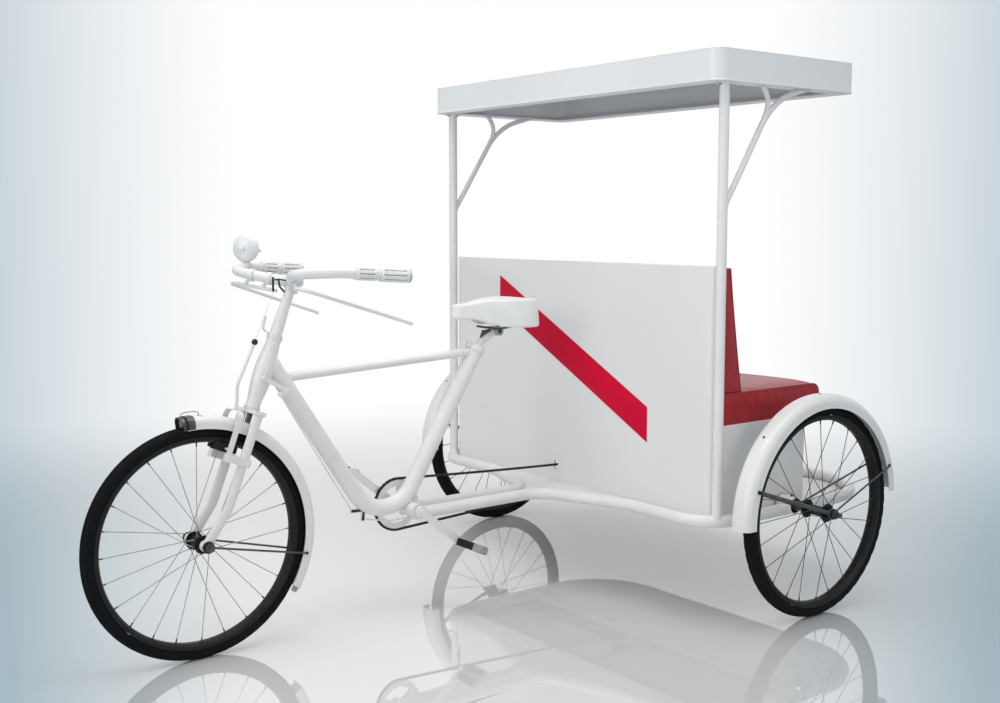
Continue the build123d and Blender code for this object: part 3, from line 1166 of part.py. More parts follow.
for name, make in (("side_panel", side_panel), ("post", post), ("post_brace", post_brace),
                   ("rear_mudguard", rear_mudguard), ("mudguard_stays", rear_stays), ("grip", grip),
                   ("brake_lever", brake_lever)):
    left = make()
    write(f"{name}_left", left)
    write(f"{name}_right", mirrored(left))

for name, x, y, wheel in (("front", WHEELBASE, 0, front_wire_wheel), ("rear_left", 0, WHEEL_Y, rear_wire_wheel),
                          ("rear_right", 0, -WHEEL_Y, rear_wire_wheel)):
    write(f"{name}_wheel", wheel_at(x, y) * wheel())
    write(f"{name}_tyre", wheel_at(x, y) * tyre())

for name, side in (("left", 1), ("right", -1)):
    write(f"pedal_{name}", pedal(side))
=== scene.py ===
import bmesh
import bpy
from math import asin, atan2, cos, pi, radians, sin, sqrt, tan, tanh
from mathutils import Matrix, Vector
from mathutils.bvhtree import BVHTree


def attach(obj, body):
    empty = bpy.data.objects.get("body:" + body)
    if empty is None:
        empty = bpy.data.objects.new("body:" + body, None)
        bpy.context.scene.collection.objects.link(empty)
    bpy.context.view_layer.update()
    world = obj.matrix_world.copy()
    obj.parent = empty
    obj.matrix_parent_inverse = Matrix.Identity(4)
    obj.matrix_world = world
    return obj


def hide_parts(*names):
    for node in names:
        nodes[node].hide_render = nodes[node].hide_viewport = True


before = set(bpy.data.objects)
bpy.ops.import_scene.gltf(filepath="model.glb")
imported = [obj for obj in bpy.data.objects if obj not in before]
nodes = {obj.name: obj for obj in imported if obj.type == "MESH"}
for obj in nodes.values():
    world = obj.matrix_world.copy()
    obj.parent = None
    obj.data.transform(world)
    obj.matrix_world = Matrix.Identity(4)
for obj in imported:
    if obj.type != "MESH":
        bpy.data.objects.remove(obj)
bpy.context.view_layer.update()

scene = bpy.context.scene
scene.view_settings.view_transform = "Standard"

# ---- Studio ----
# A pale polished floor that fades into a white backdrop, lit by a wide softbox overhead, one in
# front, one at the side and a small low one that throws light up under the canopy.
LENS = 43.99
CAMERA_PLACE = (2.430, 3.325, 1.287)
CAMERA_TURN = (83.966, 0.0, 142.34)     # degrees
BACKDROP_WHITE = (1.0, 1.0, 1.0)
BACKDROP_BLUE = (0.58, 0.66, 0.71)
BACKDROP_AHEAD = (-0.611, -0.792, 0.0)  # the level heading where the backdrop is whitest
BACKDROP_SIDE = (0.978, 0.925)          # cosines from it where the blue starts and is full
SENSOR_WIDTH = 36.0
FLOOR_R = 60.0
FLOOR_FADE = (1.3, 4.8)                 # metres from the middle
FLOOR_POLISH = 0.31
# The floor's matt colour darkens from FLOOR_MIDDLE to blue grey towards the sides: painted shade where the
# light falls off.
FLOOR_MIDDLE, FLOOR_SIDE_SHADE = (0.70, 0.70, 0.705), (0.30, 0.41, 0.46)
LIGHT_LEVEL = 0.56
SOFTBOXES = [                           # name, place, aim, width, height, watts, spread in degrees
    ("softbox_over", (0.2, 0.4, 4.6), (0.0, 0.0, 0.4), 4.5, 3.5, 120.0, 180.0),
    ("softbox_front", (4.2, 0.2, 2.2), (0.2, 0.0, 0.9), 2.4, 2.4, 38.0, 180.0),
    ("softbox_side", (-1.6, 4.6, 2.4), (-0.4, 0.0, 0.9), 2.6, 2.2, 5.0, 180.0),
    ("softbox_low", (2.0, 4.3, 0.5), (-0.4, 0.2, 1.85), 1.2, 0.6, 4.5, 60.0),
]


def join(tree, *links):
    """Links sockets in pairs: what comes out, where it goes in."""
    for source, target in links:
        tree.links.new(source, target)


def add_node(tree, kind, operation=None):
    """A new shader node, set to an operation if it has several."""
    made = tree.nodes.new("ShaderNode" + kind)
    if operation:
        made.operation = operation
    return made


def ramp_between(tree, source, low, high, smooth=True):
    """A node that rises from 0 to 1 as its source goes from low to high."""
    step = add_node(tree, "MapRange")
    step.interpolation_type = "SMOOTHSTEP" if smooth else "LINEAR"
    step.inputs["From Min"].default_value = low
    step.inputs["From Max"].default_value = high
    join(tree, (source, step.inputs["Value"]))
    return step.outputs["Result"]


def mixed_colour(tree, share, first, second):
    """A colour between two others, each a colour or a socket."""
    mix = add_node(tree, "Mix")
    mix.data_type = "RGBA"
    for socket, colour in ((mix.inputs["A"], first), (mix.inputs["B"], second)):
        if isinstance(colour, tuple):
            socket.default_value = (*colour, 1.0)
        else:
            join(tree, (colour, socket))
    join(tree, (share, mix.inputs["Factor"]))
    return mix.outputs["Result"]


def backdrop_tint(tree, heading, white, blue):
    """White straight behind the object, blue grey towards the sides at any height."""
    level = add_node(tree, "VectorMath", "MULTIPLY")
    level.inputs[1].default_value = (1.0, 1.0, 0.0)
    unit = add_node(tree, "VectorMath", "NORMALIZE")
    ahead = add_node(tree, "VectorMath", "DOT_PRODUCT")
    ahead.inputs[1].default_value = BACKDROP_AHEAD
    join(tree, (heading, level.inputs[0]), (level.outputs["Vector"], unit.inputs[0]),
         (unit.outputs["Vector"], ahead.inputs[0]))
    side = ramp_between(tree, ahead.outputs["Value"], *BACKDROP_SIDE, False)
    return mixed_colour(tree, side, white, blue)


camera = bpy.data.objects.new("camera", bpy.data.cameras.new("camera"))
scene.collection.objects.link(camera)
camera.data.lens = LENS
camera.data.sensor_width = SENSOR_WIDTH
camera.location = CAMERA_PLACE
camera.rotation_euler = [radians(turn) for turn in CAMERA_TURN]
scene.camera = camera

for name, place, aim, width, height, watts, spread in SOFTBOXES:
    lamp = bpy.data.lights.new(name, "AREA")
    lamp.shape = "RECTANGLE"
    lamp.size, lamp.size_y = width, height
    lamp.energy = watts
    lamp.spread = radians(spread)
    holder = bpy.data.objects.new(name, lamp)
    scene.collection.objects.link(holder)
    holder.location = place
    holder.visible_camera = False
    holder.visible_glossy = name != "softbox_low"
    holder.rotation_euler = (Vector(aim) - Vector(place)).to_track_quat("-Z", "Y").to_euler()

world = bpy.data.worlds.new("studio")
scene.world = world
world.use_nodes = True
tree = world.node_tree
tree.nodes.clear()
heading = add_node(tree, "TexCoord").outputs["Generated"]
shown = add_node(tree, "Background")
lighting = add_node(tree, "Background")
lighting.inputs["Color"].default_value = (1.0, 1.0, 1.0, 1.0)
lighting.inputs["Strength"].default_value = LIGHT_LEVEL
path = add_node(tree, "LightPath")
seen = add_node(tree, "Math", "MAXIMUM")
choose = add_node(tree, "MixShader")
out = add_node(tree, "OutputWorld")
join(tree, (backdrop_tint(tree, heading, BACKDROP_WHITE, BACKDROP_BLUE), shown.inputs["Color"]),
     (path.outputs["Is Camera Ray"], seen.inputs[0]), (path.outputs["Is Glossy Ray"], seen.inputs[1]),
     (seen.outputs[0], choose.inputs["Fac"]), (lighting.outputs[0], choose.inputs[1]),
     (shown.outputs[0], choose.inputs[2]), (choose.outputs[0], out.inputs["Surface"]))

floor_mesh = bpy.data.meshes.new("studio_floor")
floor_shape = bmesh.new()
bmesh.ops.create_circle(floor_shape, cap_ends=True, radius=FLOOR_R, segments=96)
floor_shape.to_mesh(floor_mesh)
floor_shape.free()
floor = bpy.data.objects.new("studio_floor", floor_mesh)
scene.collection.objects.link(floor)
floor_finish = bpy.data.materials.new("polished_floor")
floor_finish.use_nodes = True
tree = floor_finish.node_tree
tree.nodes.clear()
spot = add_node(tree, "TexCoord").outputs["Object"]
reach = add_node(tree, "VectorMath", "LENGTH")
sideways = add_node(tree, "VectorMath", "SUBTRACT")
sideways.inputs[1].default_value = (CAMERA_PLACE[0], CAMERA_PLACE[1], 0.0)
matt = add_node(tree, "BsdfDiffuse")
gloss = add_node(tree, "BsdfGlossy")
gloss.inputs["Color"].default_value = (0.95, 0.96, 0.97, 1.0)
gloss.inputs["Roughness"].default_value = 0.02
polish = add_node(tree, "MixShader")
polish.inputs["Fac"].default_value = FLOOR_POLISH
far = add_node(tree, "Emission")
path = add_node(tree, "LightPath")
fade = add_node(tree, "Math", "MULTIPLY")
blend_out = add_node(tree, "MixShader")
out = add_node(tree, "OutputMaterial")
# The matt colour turns darker blue grey sideways from the camera's place on the floor, as painted shade.
join(tree, (spot, reach.inputs[0]), (matt.outputs[0], polish.inputs[1]), (gloss.outputs[0], polish.inputs[2]),
     (spot, sideways.inputs[0]),
     (backdrop_tint(tree, sideways.outputs["Vector"], FLOOR_MIDDLE, FLOOR_SIDE_SHADE), matt.inputs["Color"]),
     (backdrop_tint(tree, sideways.outputs["Vector"], BACKDROP_WHITE, BACKDROP_BLUE), far.inputs["Color"]),
     (ramp_between(tree, reach.outputs["Value"], *FLOOR_FADE), fade.inputs[0]),
     (path.outputs["Is Camera Ray"], fade.inputs[1]), (fade.outputs[0], blend_out.inputs["Fac"]),
     (polish.outputs[0], blend_out.inputs[1]), (far.outputs[0], blend_out.inputs[2]),
     (blend_out.outputs[0], out.inputs["Surface"]))
floor_mesh.materials.append(floor_finish)


# ---- Main frame ----
# One bent steel tube makes the low U between head tube and saddle, with a thin top tube across it.
# The tubes are brazed and welded, then sprayed satin white over primer.
REAR_AXLE = -784.0          # mm, the rear axle's place in the model; sizes here are in mm
AXLE_Z = 350.0
WHEELBASE = 1768.0
HEAD_LEAN = radians(69.0)
FORK_OFFSET = 31.0
PAINT_WHITE = (0.795, 0.782, 0.776)
PAINT_SHADE = (0.745, 0.733, 0.727)
BEAD_R = 2.1
BEAD_RIPPLE, BEAD_RIPPLES = 0.35, 9     # height in mm and number round a weld
WELD_CLEAR = 0.0012                     # metres outside a tube, where its weld's rays run
SHARP_TURN = radians(34.0)              # edges that turn more than this stay sharp
LEFT, UP = Vector((0, 1, 0)), Vector((0, 0, 1))


def at(x, y, z):
    """A place x mm ahead of the rear axle, in the model's metres."""
    return Vector((REAR_AXLE + x, y, z)) / 1000.0


def steer_axis(z):
    """The point of the steering axis at a height, in mm, ahead of the rear axle."""
    return WHEELBASE - FORK_OFFSET / sin(HEAD_LEAN) - (z - AXLE_Z) / tan(HEAD_LEAN)


def finish_material(name, colour, roughness, **sockets):
    """A material with a named shader, ready for its texture nodes."""
    made = bpy.data.materials.new(name)
    made.use_nodes = True
    shader = made.node_tree.nodes["Principled BSDF"]
    shader.inputs["Base Color"].default_value = (*colour, 1.0)
    shader.inputs["Roughness"].default_value = roughness
    for socket, value in sockets.items():
        shader.inputs[socket.replace("_", " ")].default_value = value
    return made


def grain(made, scale, detail=3.0, stretch=(1.0, 1.0, 1.0)):
    """Noise that sits still on the piece, as a value from 0 to 1."""
    tree = made.node_tree
    place = add_node(tree, "TexCoord")
    turn = add_node(tree, "Mapping")
    turn.inputs["Scale"].default_value = stretch
    speck = add_node(tree, "TexNoise")
    speck.inputs["Scale"].default_value = scale
    speck.inputs["Detail"].default_value = detail
    join(tree, (place.outputs["Object"], turn.inputs["Vector"]),
         (turn.outputs["Vector"], speck.inputs["Vector"]))
    return speck.outputs["Fac"]


def mottle(made, scale, other, low=0.35, high=0.7, detail=3.0):
    """Drifts the colour towards another one in patches."""
    tree = made.node_tree
    shader = tree.nodes["Principled BSDF"]
    own = tuple(shader.inputs["Base Color"].default_value)[:3]
    share = ramp_between(tree, grain(made, scale, detail), low, high)
    join(tree, (mixed_colour(tree, share, own, other), shader.inputs["Base Color"]))


def uneven_gloss(made, scale, low, high):
    """Roughness that drifts between two values in patches."""
    tree = made.node_tree
    level = add_node(tree, "MapRange")
    level.inputs["To Min"].default_value = low
    level.inputs["To Max"].default_value = high
    join(tree, (grain(made, scale), level.inputs["Value"]),
         (level.outputs["Result"], tree.nodes["Principled BSDF"].inputs["Roughness"]))


def relief(made, height, depth, strength=1.0):
    """Raises the surface by a height of 0 to 1, depth metres at the most, over any relief before it."""
    tree = made.node_tree
    shader = tree.nodes["Principled BSDF"]
    bump = add_node(tree, "Bump")
    bump.inputs["Strength"].default_value = strength
    bump.inputs["Distance"].default_value = depth
    join(tree, (height, bump.inputs["Height"]))
    if shader.inputs["Normal"].links:
        join(tree, (shader.inputs["Normal"].links[0].from_socket, bump.inputs["Normal"]))
    join(tree, (bump.outputs["Normal"], shader.inputs["Normal"]))


def darken_hollows(made, colour, low, high):
    """Darkens the hollows of the shape, by how far they curve in."""
    tree = made.node_tree
    base = tree.nodes["Principled BSDF"].inputs["Base Color"]
    shape = add_node(tree, "NewGeometry")
    hollow = ramp_between(tree, shape.outputs["Pointiness"], low, high)
    own = base.links[0].from_socket
    join(tree, (mixed_colour(tree, hollow, own, colour), base))


def dress(node, made):
    """Gives a CAD node its finish."""
    held = nodes[node]
    for slot in held.material_slots:
        slot.material = made
    return held


def piece(name, shape, made, body, smooth=True):
    """Turns a bmesh into a piece of the object that rides on a body."""
    mesh = bpy.data.meshes.new(name)
    bmesh.ops.recalc_face_normals(shape, faces=shape.faces)
    shape.to_mesh(mesh)
    shape.free()
    held = bpy.data.objects.new(name, mesh)
    scene.collection.objects.link(held)
    mesh.materials.append(made)
    if smooth:
        mesh.shade_smooth()
        mesh.set_sharp_from_angle(angle=SHARP_TURN)
    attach(held, body)
    return held


def across(axis):
    """Two directions square to an axis and to each other."""
    first = axis.orthogonal().normalized()
    return first, axis.cross(first).normalized()


def ring_ways(u, v, steps):
    """Directions once round a circle, from u by way of v."""
    return [u * cos(2 * pi * n / steps) + v * sin(2 * pi * n / steps) for n in range(steps)]


def add_turned(shape, foot, axis, profile, steps=28):
    """A closed surface turned about a line, from (radius, height) places in metres."""
    axis = axis.normalized()
    ways = ring_ways(*across(axis), steps)
    rows = []
    for radius, height in profile:
        middle = foot + axis * height
        if radius < 1e-6:
            rows.append([shape.verts.new(middle)])
            continue
        rows.append([shape.verts.new(middle + way * radius) for way in ways])
    for low, high in zip(rows, rows[1:]):
        for n in range(steps):
            m = (n + 1) % steps
            ring = [low[n % len(low)], low[m % len(low)], high[m % len(high)], high[n % len(high)]]
            corners = list(dict.fromkeys(ring))
            if len(corners) > 2:
                shape.faces.new(corners)


def add_run(shape, points, radius, steps=10, closed=False, radii=None):
    """A round bar that follows points, closed in a ring or capped at its ends."""
    count = len(points)
    rows = []
    side = None
    for n, point in enumerate(points):
        if closed:
            along = points[(n + 1) % count] - points[n - 1]
        else:
            along = points[min(n + 1, count - 1)] - points[max(n - 1, 0)]
        along.normalize()
        side = along.orthogonal() if side is None else side - along * side.dot(along)
        side.normalize()
        up = along.cross(side)
        r = radii[n] if radii else radius
        rows.append([shape.verts.new(point + way * r) for way in ring_ways(side, up, steps)])
    pairs = list(zip(rows, rows[1:])) + ([(rows[-1], rows[0])] if closed else [])
    for low, high in pairs:
        shift = 0
        if closed and high is rows[0]:
            shift = min(range(steps), key=lambda k: (low[0].co - high[k].co).length)
        for k in range(steps):
            shape.faces.new((low[k], low[(k + 1) % steps], high[(k + 1 + shift) % steps],
                             high[(k + shift) % steps]))
    if not closed:
        shape.faces.new(rows[0][::-1])
        shape.faces.new(rows[-1])


def add_skin(shape, rows, closed=False):
    """Faces between rows of corners that each go once round, and from the last row to the first if closed."""
    for low, high in zip(rows, rows[1:] + (rows[:1] if closed else [])):
        for k in range(len(low)):
            m = (k + 1) % len(low)
            shape.faces.new((low[k], low[m], high[m], high[k]))


def add_block(shape, centre, x_dir, y_dir, size, bevel=0.0):
    """A box about a centre with its own directions, its edges eased."""
    x_dir = x_dir.normalized()
    z_dir = x_dir.cross(y_dir).normalized()
    y_dir = z_dir.cross(x_dir)
    turn = Matrix((x_dir, y_dir, z_dir)).transposed().to_4x4()
    made = bmesh.ops.create_cube(shape, size=1.0,
                                 matrix=Matrix.Translation(centre) @ turn @ Matrix.Diagonal((*size, 1.0)))
    if bevel:
        edges = list(dict.fromkeys(edge for vert in made["verts"] for edge in vert.link_edges))
        bmesh.ops.bevel(shape, geom=edges, offset=bevel, segments=2, affect="EDGES", profile=0.6)


def add_weld(shape, target, start, toward, radius, steps=44):
    """A weld bead where a round tube runs into what a node has in its way."""
    toward = toward.normalized()
    hits = []
    for way in ring_ways(*across(toward), steps):
        origin = start + way * (radius + WELD_CLEAR)
        hit = target.ray_cast(origin, toward, 0.4)[0]
        if hit:
            hits.append(hit)
    if len(hits) == steps:
        size = [0.001 * (BEAD_R + BEAD_RIPPLE * sin(n * 2 * pi * BEAD_RIPPLES / steps)) for n in range(steps)]
        add_run(shape, hits, 0.0, steps=7, closed=True, radii=size)


def surface_of(node):
    """A node's surface, for finding where other pieces meet it."""
    mesh = nodes[node].data
    return BVHTree.FromPolygons([v.co for v in mesh.vertices], [p.vertices for p in mesh.polygons])


def white_paint(name, scale=1.0, gloss=0.33, shade=PAINT_SHADE):
    """Satin white sprayed paint with a little orange peel."""
    made = finish_material(name, PAINT_WHITE, gloss, Specular_IOR_Level=0.45, Coat_Weight=0.12,
                           Coat_Roughness=0.14)
    mottle(made, 5.0 * scale, shade, 0.3, 0.85)
    uneven_gloss(made, 14.0 * scale, gloss - 0.07, gloss + 0.11)
    relief(made, grain(made, 420.0, 2.0), 0.00006, 0.5)
    return made


def mid(a, b, share=0.5):
    """What lies a share of the way from a to b."""
    return a + (b - a) * share


tube_paint = white_paint("white_tube_paint")
weld_paint = white_paint("white_weld_paint", 1.6, 0.36)
dress("main_frame", tube_paint)

DOWN_LOW = (1193.5, 364.0)
DOWN_LEAN = radians(56.5)
SEAT_LOW = (1054.0, 364.0)
SEAT_LEAN = radians(58.5)


def down_tube(z):
    """The down tube's middle at a height."""
    return at(DOWN_LOW[0] + (z - DOWN_LOW[1]) / tan(DOWN_LEAN), 0, z)


def seat_tube(z):
    """The seat tube's middle at a height."""
    return at(SEAT_LOW[0] - (z - SEAT_LOW[1]) / tan(SEAT_LEAN), 0, z)


shape = bmesh.new()
frame_skin = surface_of("main_frame")
top_front, top_rear = down_tube(816.0), seat_tube(852.0)
add_weld(shape, frame_skin, mid(top_front, top_rear, 0.4), top_front - top_rear, 0.014)
add_weld(shape, frame_skin, mid(top_front, top_rear, 0.6), top_rear - top_front, 0.014)
piece("main_frame_welds", shape, weld_paint, "chassis")

# The seat tube's end is slit behind and drawn tight round the saddle's post by a bolted collar.
COLLAR_R = 29.6
shape = bmesh.new()
up = (seat_tube(868.0) - seat_tube(364.0)).normalized()
top = seat_tube(868.0)
add_turned(shape, top, up, [(0.0275, -0.024), (0.001 * COLLAR_R, -0.023), (0.001 * COLLAR_R + 0.0006, -0.021),
                            (0.001 * COLLAR_R + 0.0006, -0.004), (0.001 * COLLAR_R, -0.002), (0.0275, -0.001),
                            (0.0275, -0.024)], 40)
back = up.cross(LEFT).normalized()
for side in (1, -1):
    add_block(shape, top - up * 0.0125 - back * 0.036 + Vector((0, side * 0.0065, 0)), back, LEFT,
              (0.018, 0.006, 0.019), 0.0015)
piece("seat_collar", shape, tube_paint, "chassis")

# ---- Dark fasteners of the frame ----
# Blackened steel bolts with hexagon heads, washers and domed nuts, as sold by the box.
BOLT_BLACK = (0.035, 0.035, 0.038)


def add_bolt(shape, seat, axis, radius, height=None, washer=1.55):
    """A hexagon head with a chamfered top on a round washer, all sizes in mm."""
    axis = axis.normalized()
    height = height or radius * 0.75
    r, h = radius / 1000.0, height / 1000.0
    if washer:
        w = r * washer
        add_turned(shape, seat, axis, [(0, 0), (w, 0), (w, 0.0009), (w - 0.0004, 0.0013), (0, 0.0013)], 24)
    foot = seat + axis * (0.0013 if washer else 0.0)
    add_turned(shape, foot, axis, [(0, 0), (r, 0), (r, h * 0.86), (r * 0.93, h), (0, h)], 6)


bolt_steel = finish_material("blackened_bolt_steel", BOLT_BLACK, 0.38, Metallic=0.75)
mottle(bolt_steel, 90.0, (0.07, 0.068, 0.066))
uneven_gloss(bolt_steel, 160.0, 0.28, 0.5)
relief(bolt_steel, grain(bolt_steel, 900.0), 0.00003, 0.4)
shape = bmesh.new()
add_bolt(shape, top - up * 0.0125 - back * 0.037 + Vector((0, 0.0095, 0)), LEFT, 4.4)
add_bolt(shape, top - up * 0.0125 - back * 0.037 - Vector((0, 0.0095, 0)), Vector((0, -1, 0)), 4.4)
piece("seat_collar_bolts", shape, tube_paint, "chassis")

# ---- Base frame ----
# A ring of 40 mm steel tube under the body, its two front branches running to the crank housing.
# It is mitred and welded, with a bearing housing at each side for the rear axle.
RING_Z = 336.0
RING_HALF = 740.0
CRANK_X, CRANK_Z = 1033.0, 348.5
BEAM_X = -85.0
BEARING_R = 29.0
BEARING_FACE = 768.0
base_paint = white_paint("white_base_paint", 1.3, 0.36, (0.70, 0.69, 0.685))
dress("base_frame", base_paint)
shape = bmesh.new()
base_skin = surface_of("base_frame")
for side in (1, -1):
    out = Vector((0, side, 0))
    add_weld(shape, base_skin, at(BEAM_X, side * 640, RING_Z), out, 0.016)
    add_weld(shape, base_skin, at(0, side * 800, AXLE_Z), -out, 0.001 * BEARING_R - 0.004)
    for x in (905, 985):
        add_turned(shape, at(x, side * 40, RING_Z), Vector((1, 0, 0)),
                   [(0.0199, 0), (0.0206, 0.0006), (0.0206, 0.0034), (0.0199, 0.004)], 32)
piece("base_frame_welds", shape, weld_paint, "chassis")

# Each bearing housing is closed by a pressed cap and has a grease nipple on top.
shape = bmesh.new()
for side in (1, -1):
    out = Vector((0, side, 0))
    for face, way in ((BEARING_FACE, 1), (RING_HALF - 28.0, -1)):
        add_turned(shape, at(0, side * face, AXLE_Z), out * way,
                   [(0.0125, 0), (0.0262, 0), (0.0268, 0.0006), (0.0268, -0.0006), (0.0262, 0.0001)], 36)
    add_turned(shape, at(0, side * 752, AXLE_Z + BEARING_R - 1), UP,
               [(0, 0), (0.0042, 0), (0.0042, 0.003), (0.0026, 0.004), (0.0026, 0.007), (0.0034, 0.008),
                (0.0026, 0.0102), (0, 0.0108)], 6)
piece("bearing_caps", shape, bolt_steel, "chassis")

# ---- Headset ----
# Pressed steel bearing cups above and below the head tube, with a locknut whose edge is notched.
dress("headset_cups", tube_paint)
HEAD_UP = Vector((-cos(HEAD_LEAN), 0, sin(HEAD_LEAN)))
HEAD_AHEAD = Vector((sin(HEAD_LEAN), 0, cos(HEAD_LEAN)))
head_low, head_high = at(steer_axis(738.0), 0, 738.0), at(steer_axis(936.0), 0, 936.0)
shape = bmesh.new()
for foot, way in ((head_low, -1), (head_high, 1)):
    axis = HEAD_UP * way
    add_turned(shape, foot, axis, [(0.0222, -0.0005), (0.0246, 0.0), (0.0252, 0.0011), (0.0246, 0.0022),
                                   (0.0236, 0.0029), (0.0236, 0.0053), (0.0246, 0.0060), (0.0246, 0.0072),
                                   (0.0232, 0.0077), (0.0222, 0.0077), (0.0222, -0.0005)], 44)
    for n in range(12):
        u, v = across(axis)
        arm = u * cos(n * pi / 6) + v * sin(n * pi / 6)
        add_block(shape, foot + axis * 0.0041 + arm * 0.0240, arm, axis, (0.0016, 0.0026, 0.0034), 0.0003)
piece("headset_rings", shape, tube_paint, "chassis")

# ---- Fork ----
# Two oval steel legs brazed to a forged crown plate and drawn forward to the dropouts.
FORK_LEG = 54.0
dress("fork", tube_paint)
shape = bmesh.new()
crown = at(steer_axis(738.0), 0, 738.0) - HEAD_UP * 0.0152
for side in (1, -1):
    leg = crown + Vector((0, side * FORK_LEG / 1000, 0))
    bead = []
    for n in range(36):
        turn = 2 * pi * n / 36
        bead.append(leg - HEAD_UP * 0.0072 + HEAD_AHEAD * (0.0158 * cos(turn))
                    + Vector((0, 0.0108 * sin(turn), 0)))
    add_run(shape, bead, 0.0017, steps=7, closed=True)
add_run(shape, [crown + HEAD_UP * 0.0064 + way * 0.0148 for way in ring_ways(HEAD_AHEAD, LEFT, 30)],
        0.0011, steps=6, closed=True)
piece("fork_brazing", shape, weld_paint, "steering")
shape = bmesh.new()
for side in (1, -1):
    end = crown + Vector((0, side * 0.0662, 0))
    add_turned(shape, end, Vector((0, side, 0)),
               [(0, 0), (0.0048, 0), (0.0048, 0.001), (0.003, 0.0022), (0, 0.0026)], 16)
piece("crown_plugs", shape, tube_paint, "steering")

# ---- Stem and handlebar ----
# A tapered steel stem holds the bar in a split clamp; the bar is one bent 26 mm tube.
dress("stem", tube_paint)
dress("handlebar", tube_paint)
BAR_Z = 1106.0
bar_middle = at(steer_axis(BAR_Z), 0, BAR_Z)
shape = bmesh.new()
for side in (1, -1):
    add_turned(shape, bar_middle + Vector((0, side * 0.0208, 0)), Vector((0, side, 0)),
               [(0.0164, -0.001), (0.0228, -0.001), (0.0231, 0.0), (0.0228, 0.0014), (0.0164, 0.0016)], 40)
add_block(shape, bar_middle - HEAD_UP * 0.0250 - HEAD_AHEAD * 0.0035, HEAD_AHEAD, LEFT,
          (0.030, 0.026, 0.010), 0.0025)
piece("stem_clamp", shape, tube_paint, "steering")
shape = bmesh.new()
add_bolt(shape, bar_middle - HEAD_UP * 0.0250 - HEAD_AHEAD * 0.018, -HEAD_AHEAD, 4.5)
stem_top = bar_middle + HEAD_UP * 0.0221
add_turned(shape, stem_top, HEAD_UP,
           [(0, 0), (0.0075, 0), (0.0075, 0.0026), (0.0068, 0.0034), (0.0042, 0.0034),
                                      (0.0042, 0.0010), (0, 0.0010)], 24)
piece("stem_bolts", shape, bolt_steel, "steering")


def bar_place(x, y, z):
    """A place ahead of, left of and above the middle of the bar, in mm."""
    return bar_middle + Vector((x, y, z)) / 1000.0


# ---- Grips ----
# White moulded rubber pushed on the bar's ends, a short ring of flutes by the hand's heel and a
# longer one under the fingers, closed at the end.
GRIP_END = (-209.0, 333.0, 25.0)
GRIP_BEND = (-4.0, 284.0, 38.0)
GRIP_LENGTH = 176.0
GRIP_STEPS = 88
GRIP_ROUND = 72
GRIP_FLUTES = 8
grip_rubber = finish_material("white_grip_rubber", (0.79, 0.79, 0.785), 0.52, Specular_IOR_Level=0.4)
mottle(grip_rubber, 45.0, (0.70, 0.70, 0.695), 0.4, 0.75)
uneven_gloss(grip_rubber, 80.0, 0.45, 0.62)
# The grip's flutes are painted darker towards the bottoms of their hollows.
darken_hollows(grip_rubber, (0.16, 0.16, 0.16), 0.497, 0.44)
relief(grip_rubber, grain(grip_rubber, 1500.0, 2.0), 0.00005, 0.6)


def grip_radius(along, turn):
    """The grip's radius at a share of its length and an angle, in mm."""
    edge = 16.9
    zones = [(0.03, 0.38, 19.6), (0.43, 0.955, 21.0)]
    for start, stop, full in zones:
        if start < along < stop:
            run = (along - start) / (stop - start)
            ends = min(1.0, min(run, 1.0 - run) * 14.0)
            flute = max(0.0, cos(turn * GRIP_FLUTES)) ** 2.5 if 0.1 < run < 0.9 else 0.0
            inner = min(1.0, min(run - 0.1, 0.9 - run) * 22.0) if 0.1 < run < 0.9 else 0.0
            return edge + (full - edge) * sin(ends * pi / 2) - 3.6 * flute * inner
    if along >= 0.955:
        return 21.0 * sqrt(max(0.0, 1.0 - ((along - 0.955) / 0.045) ** 2.4))
    return edge + 0.8


for name, side in (("left", 1), ("right", -1)):
    end, bend = bar_place(*GRIP_END), bar_place(*GRIP_BEND)
    end.y *= side
    bend.y *= side
    axis = (end - bend).normalized()
    start = end - axis * (GRIP_LENGTH - 4.0) / 1000.0
    u, v = across(axis)
    shape = bmesh.new()
    rows = []
    for n in range(GRIP_STEPS + 1):
        along = n / GRIP_STEPS
        middle = start + axis * (along * GRIP_LENGTH / 1000.0)
        rows.append([shape.verts.new(middle + (u * cos(t) + v * sin(t)) * (max(grip_radius(along, t),
                                                                               0.4) / 1000.0))
                     for t in [2 * pi * k / GRIP_ROUND for k in range(GRIP_ROUND)]])
    add_skin(shape, rows)
    shape.faces.new(rows[0])
    shape.faces.new(rows[-1])
    held = piece(f"grip_{name}_fluted", shape, grip_rubber, "steering")
    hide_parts(f"grip_{name}")

# ---- Brake levers ----
# Bent rods under the bar, painted with it, that turn in two clips and pull the brakes' rods.
for node in ("brake_lever_left", "brake_lever_right"):
    dress(node, tube_paint)
LEVER = [(22.0, 62.0, -28.0), (116.0, 235.0, -2.0), (-240.0, 284.0, -118.0)]
BAR_RUN = [(0.0, 44.0, 0.0), (112.0, 190.0, 33.0)]
shape = bmesh.new()
black_bracket = bmesh.new()
for side in (1, -1):
    tip = bar_place(LEVER[2][0], side * LEVER[2][1], LEVER[2][2])
    bend = bar_place(LEVER[1][0], side * LEVER[1][1], LEVER[1][2])
    along = (tip - bend).normalized()
    add_turned(shape, tip - along * 0.003, along,
               [(0.0052, 0), (0.0068, 0.002), (0.0072, 0.005), (0.0062, 0.0085),
                                                   (0.0035, 0.0105), (0, 0.011)], 20)
    for share in (0.28, 0.6):
        seat = mid(bar_place(BAR_RUN[0][0], side * BAR_RUN[0][1], BAR_RUN[0][2]),
                   bar_place(BAR_RUN[1][0], side * BAR_RUN[1][1], BAR_RUN[1][2]), share)
        add_bolt(black_bracket, seat + Vector((0, 0, 0.0197)), UP, 2.6, washer=1.3)
piece("lever_ends", shape, tube_paint, "steering")
add_block(black_bracket, bar_place(65.0, 0.0, -4.0), UP, LEFT, (0.044, 0.006, 0.0055), 0.0012)
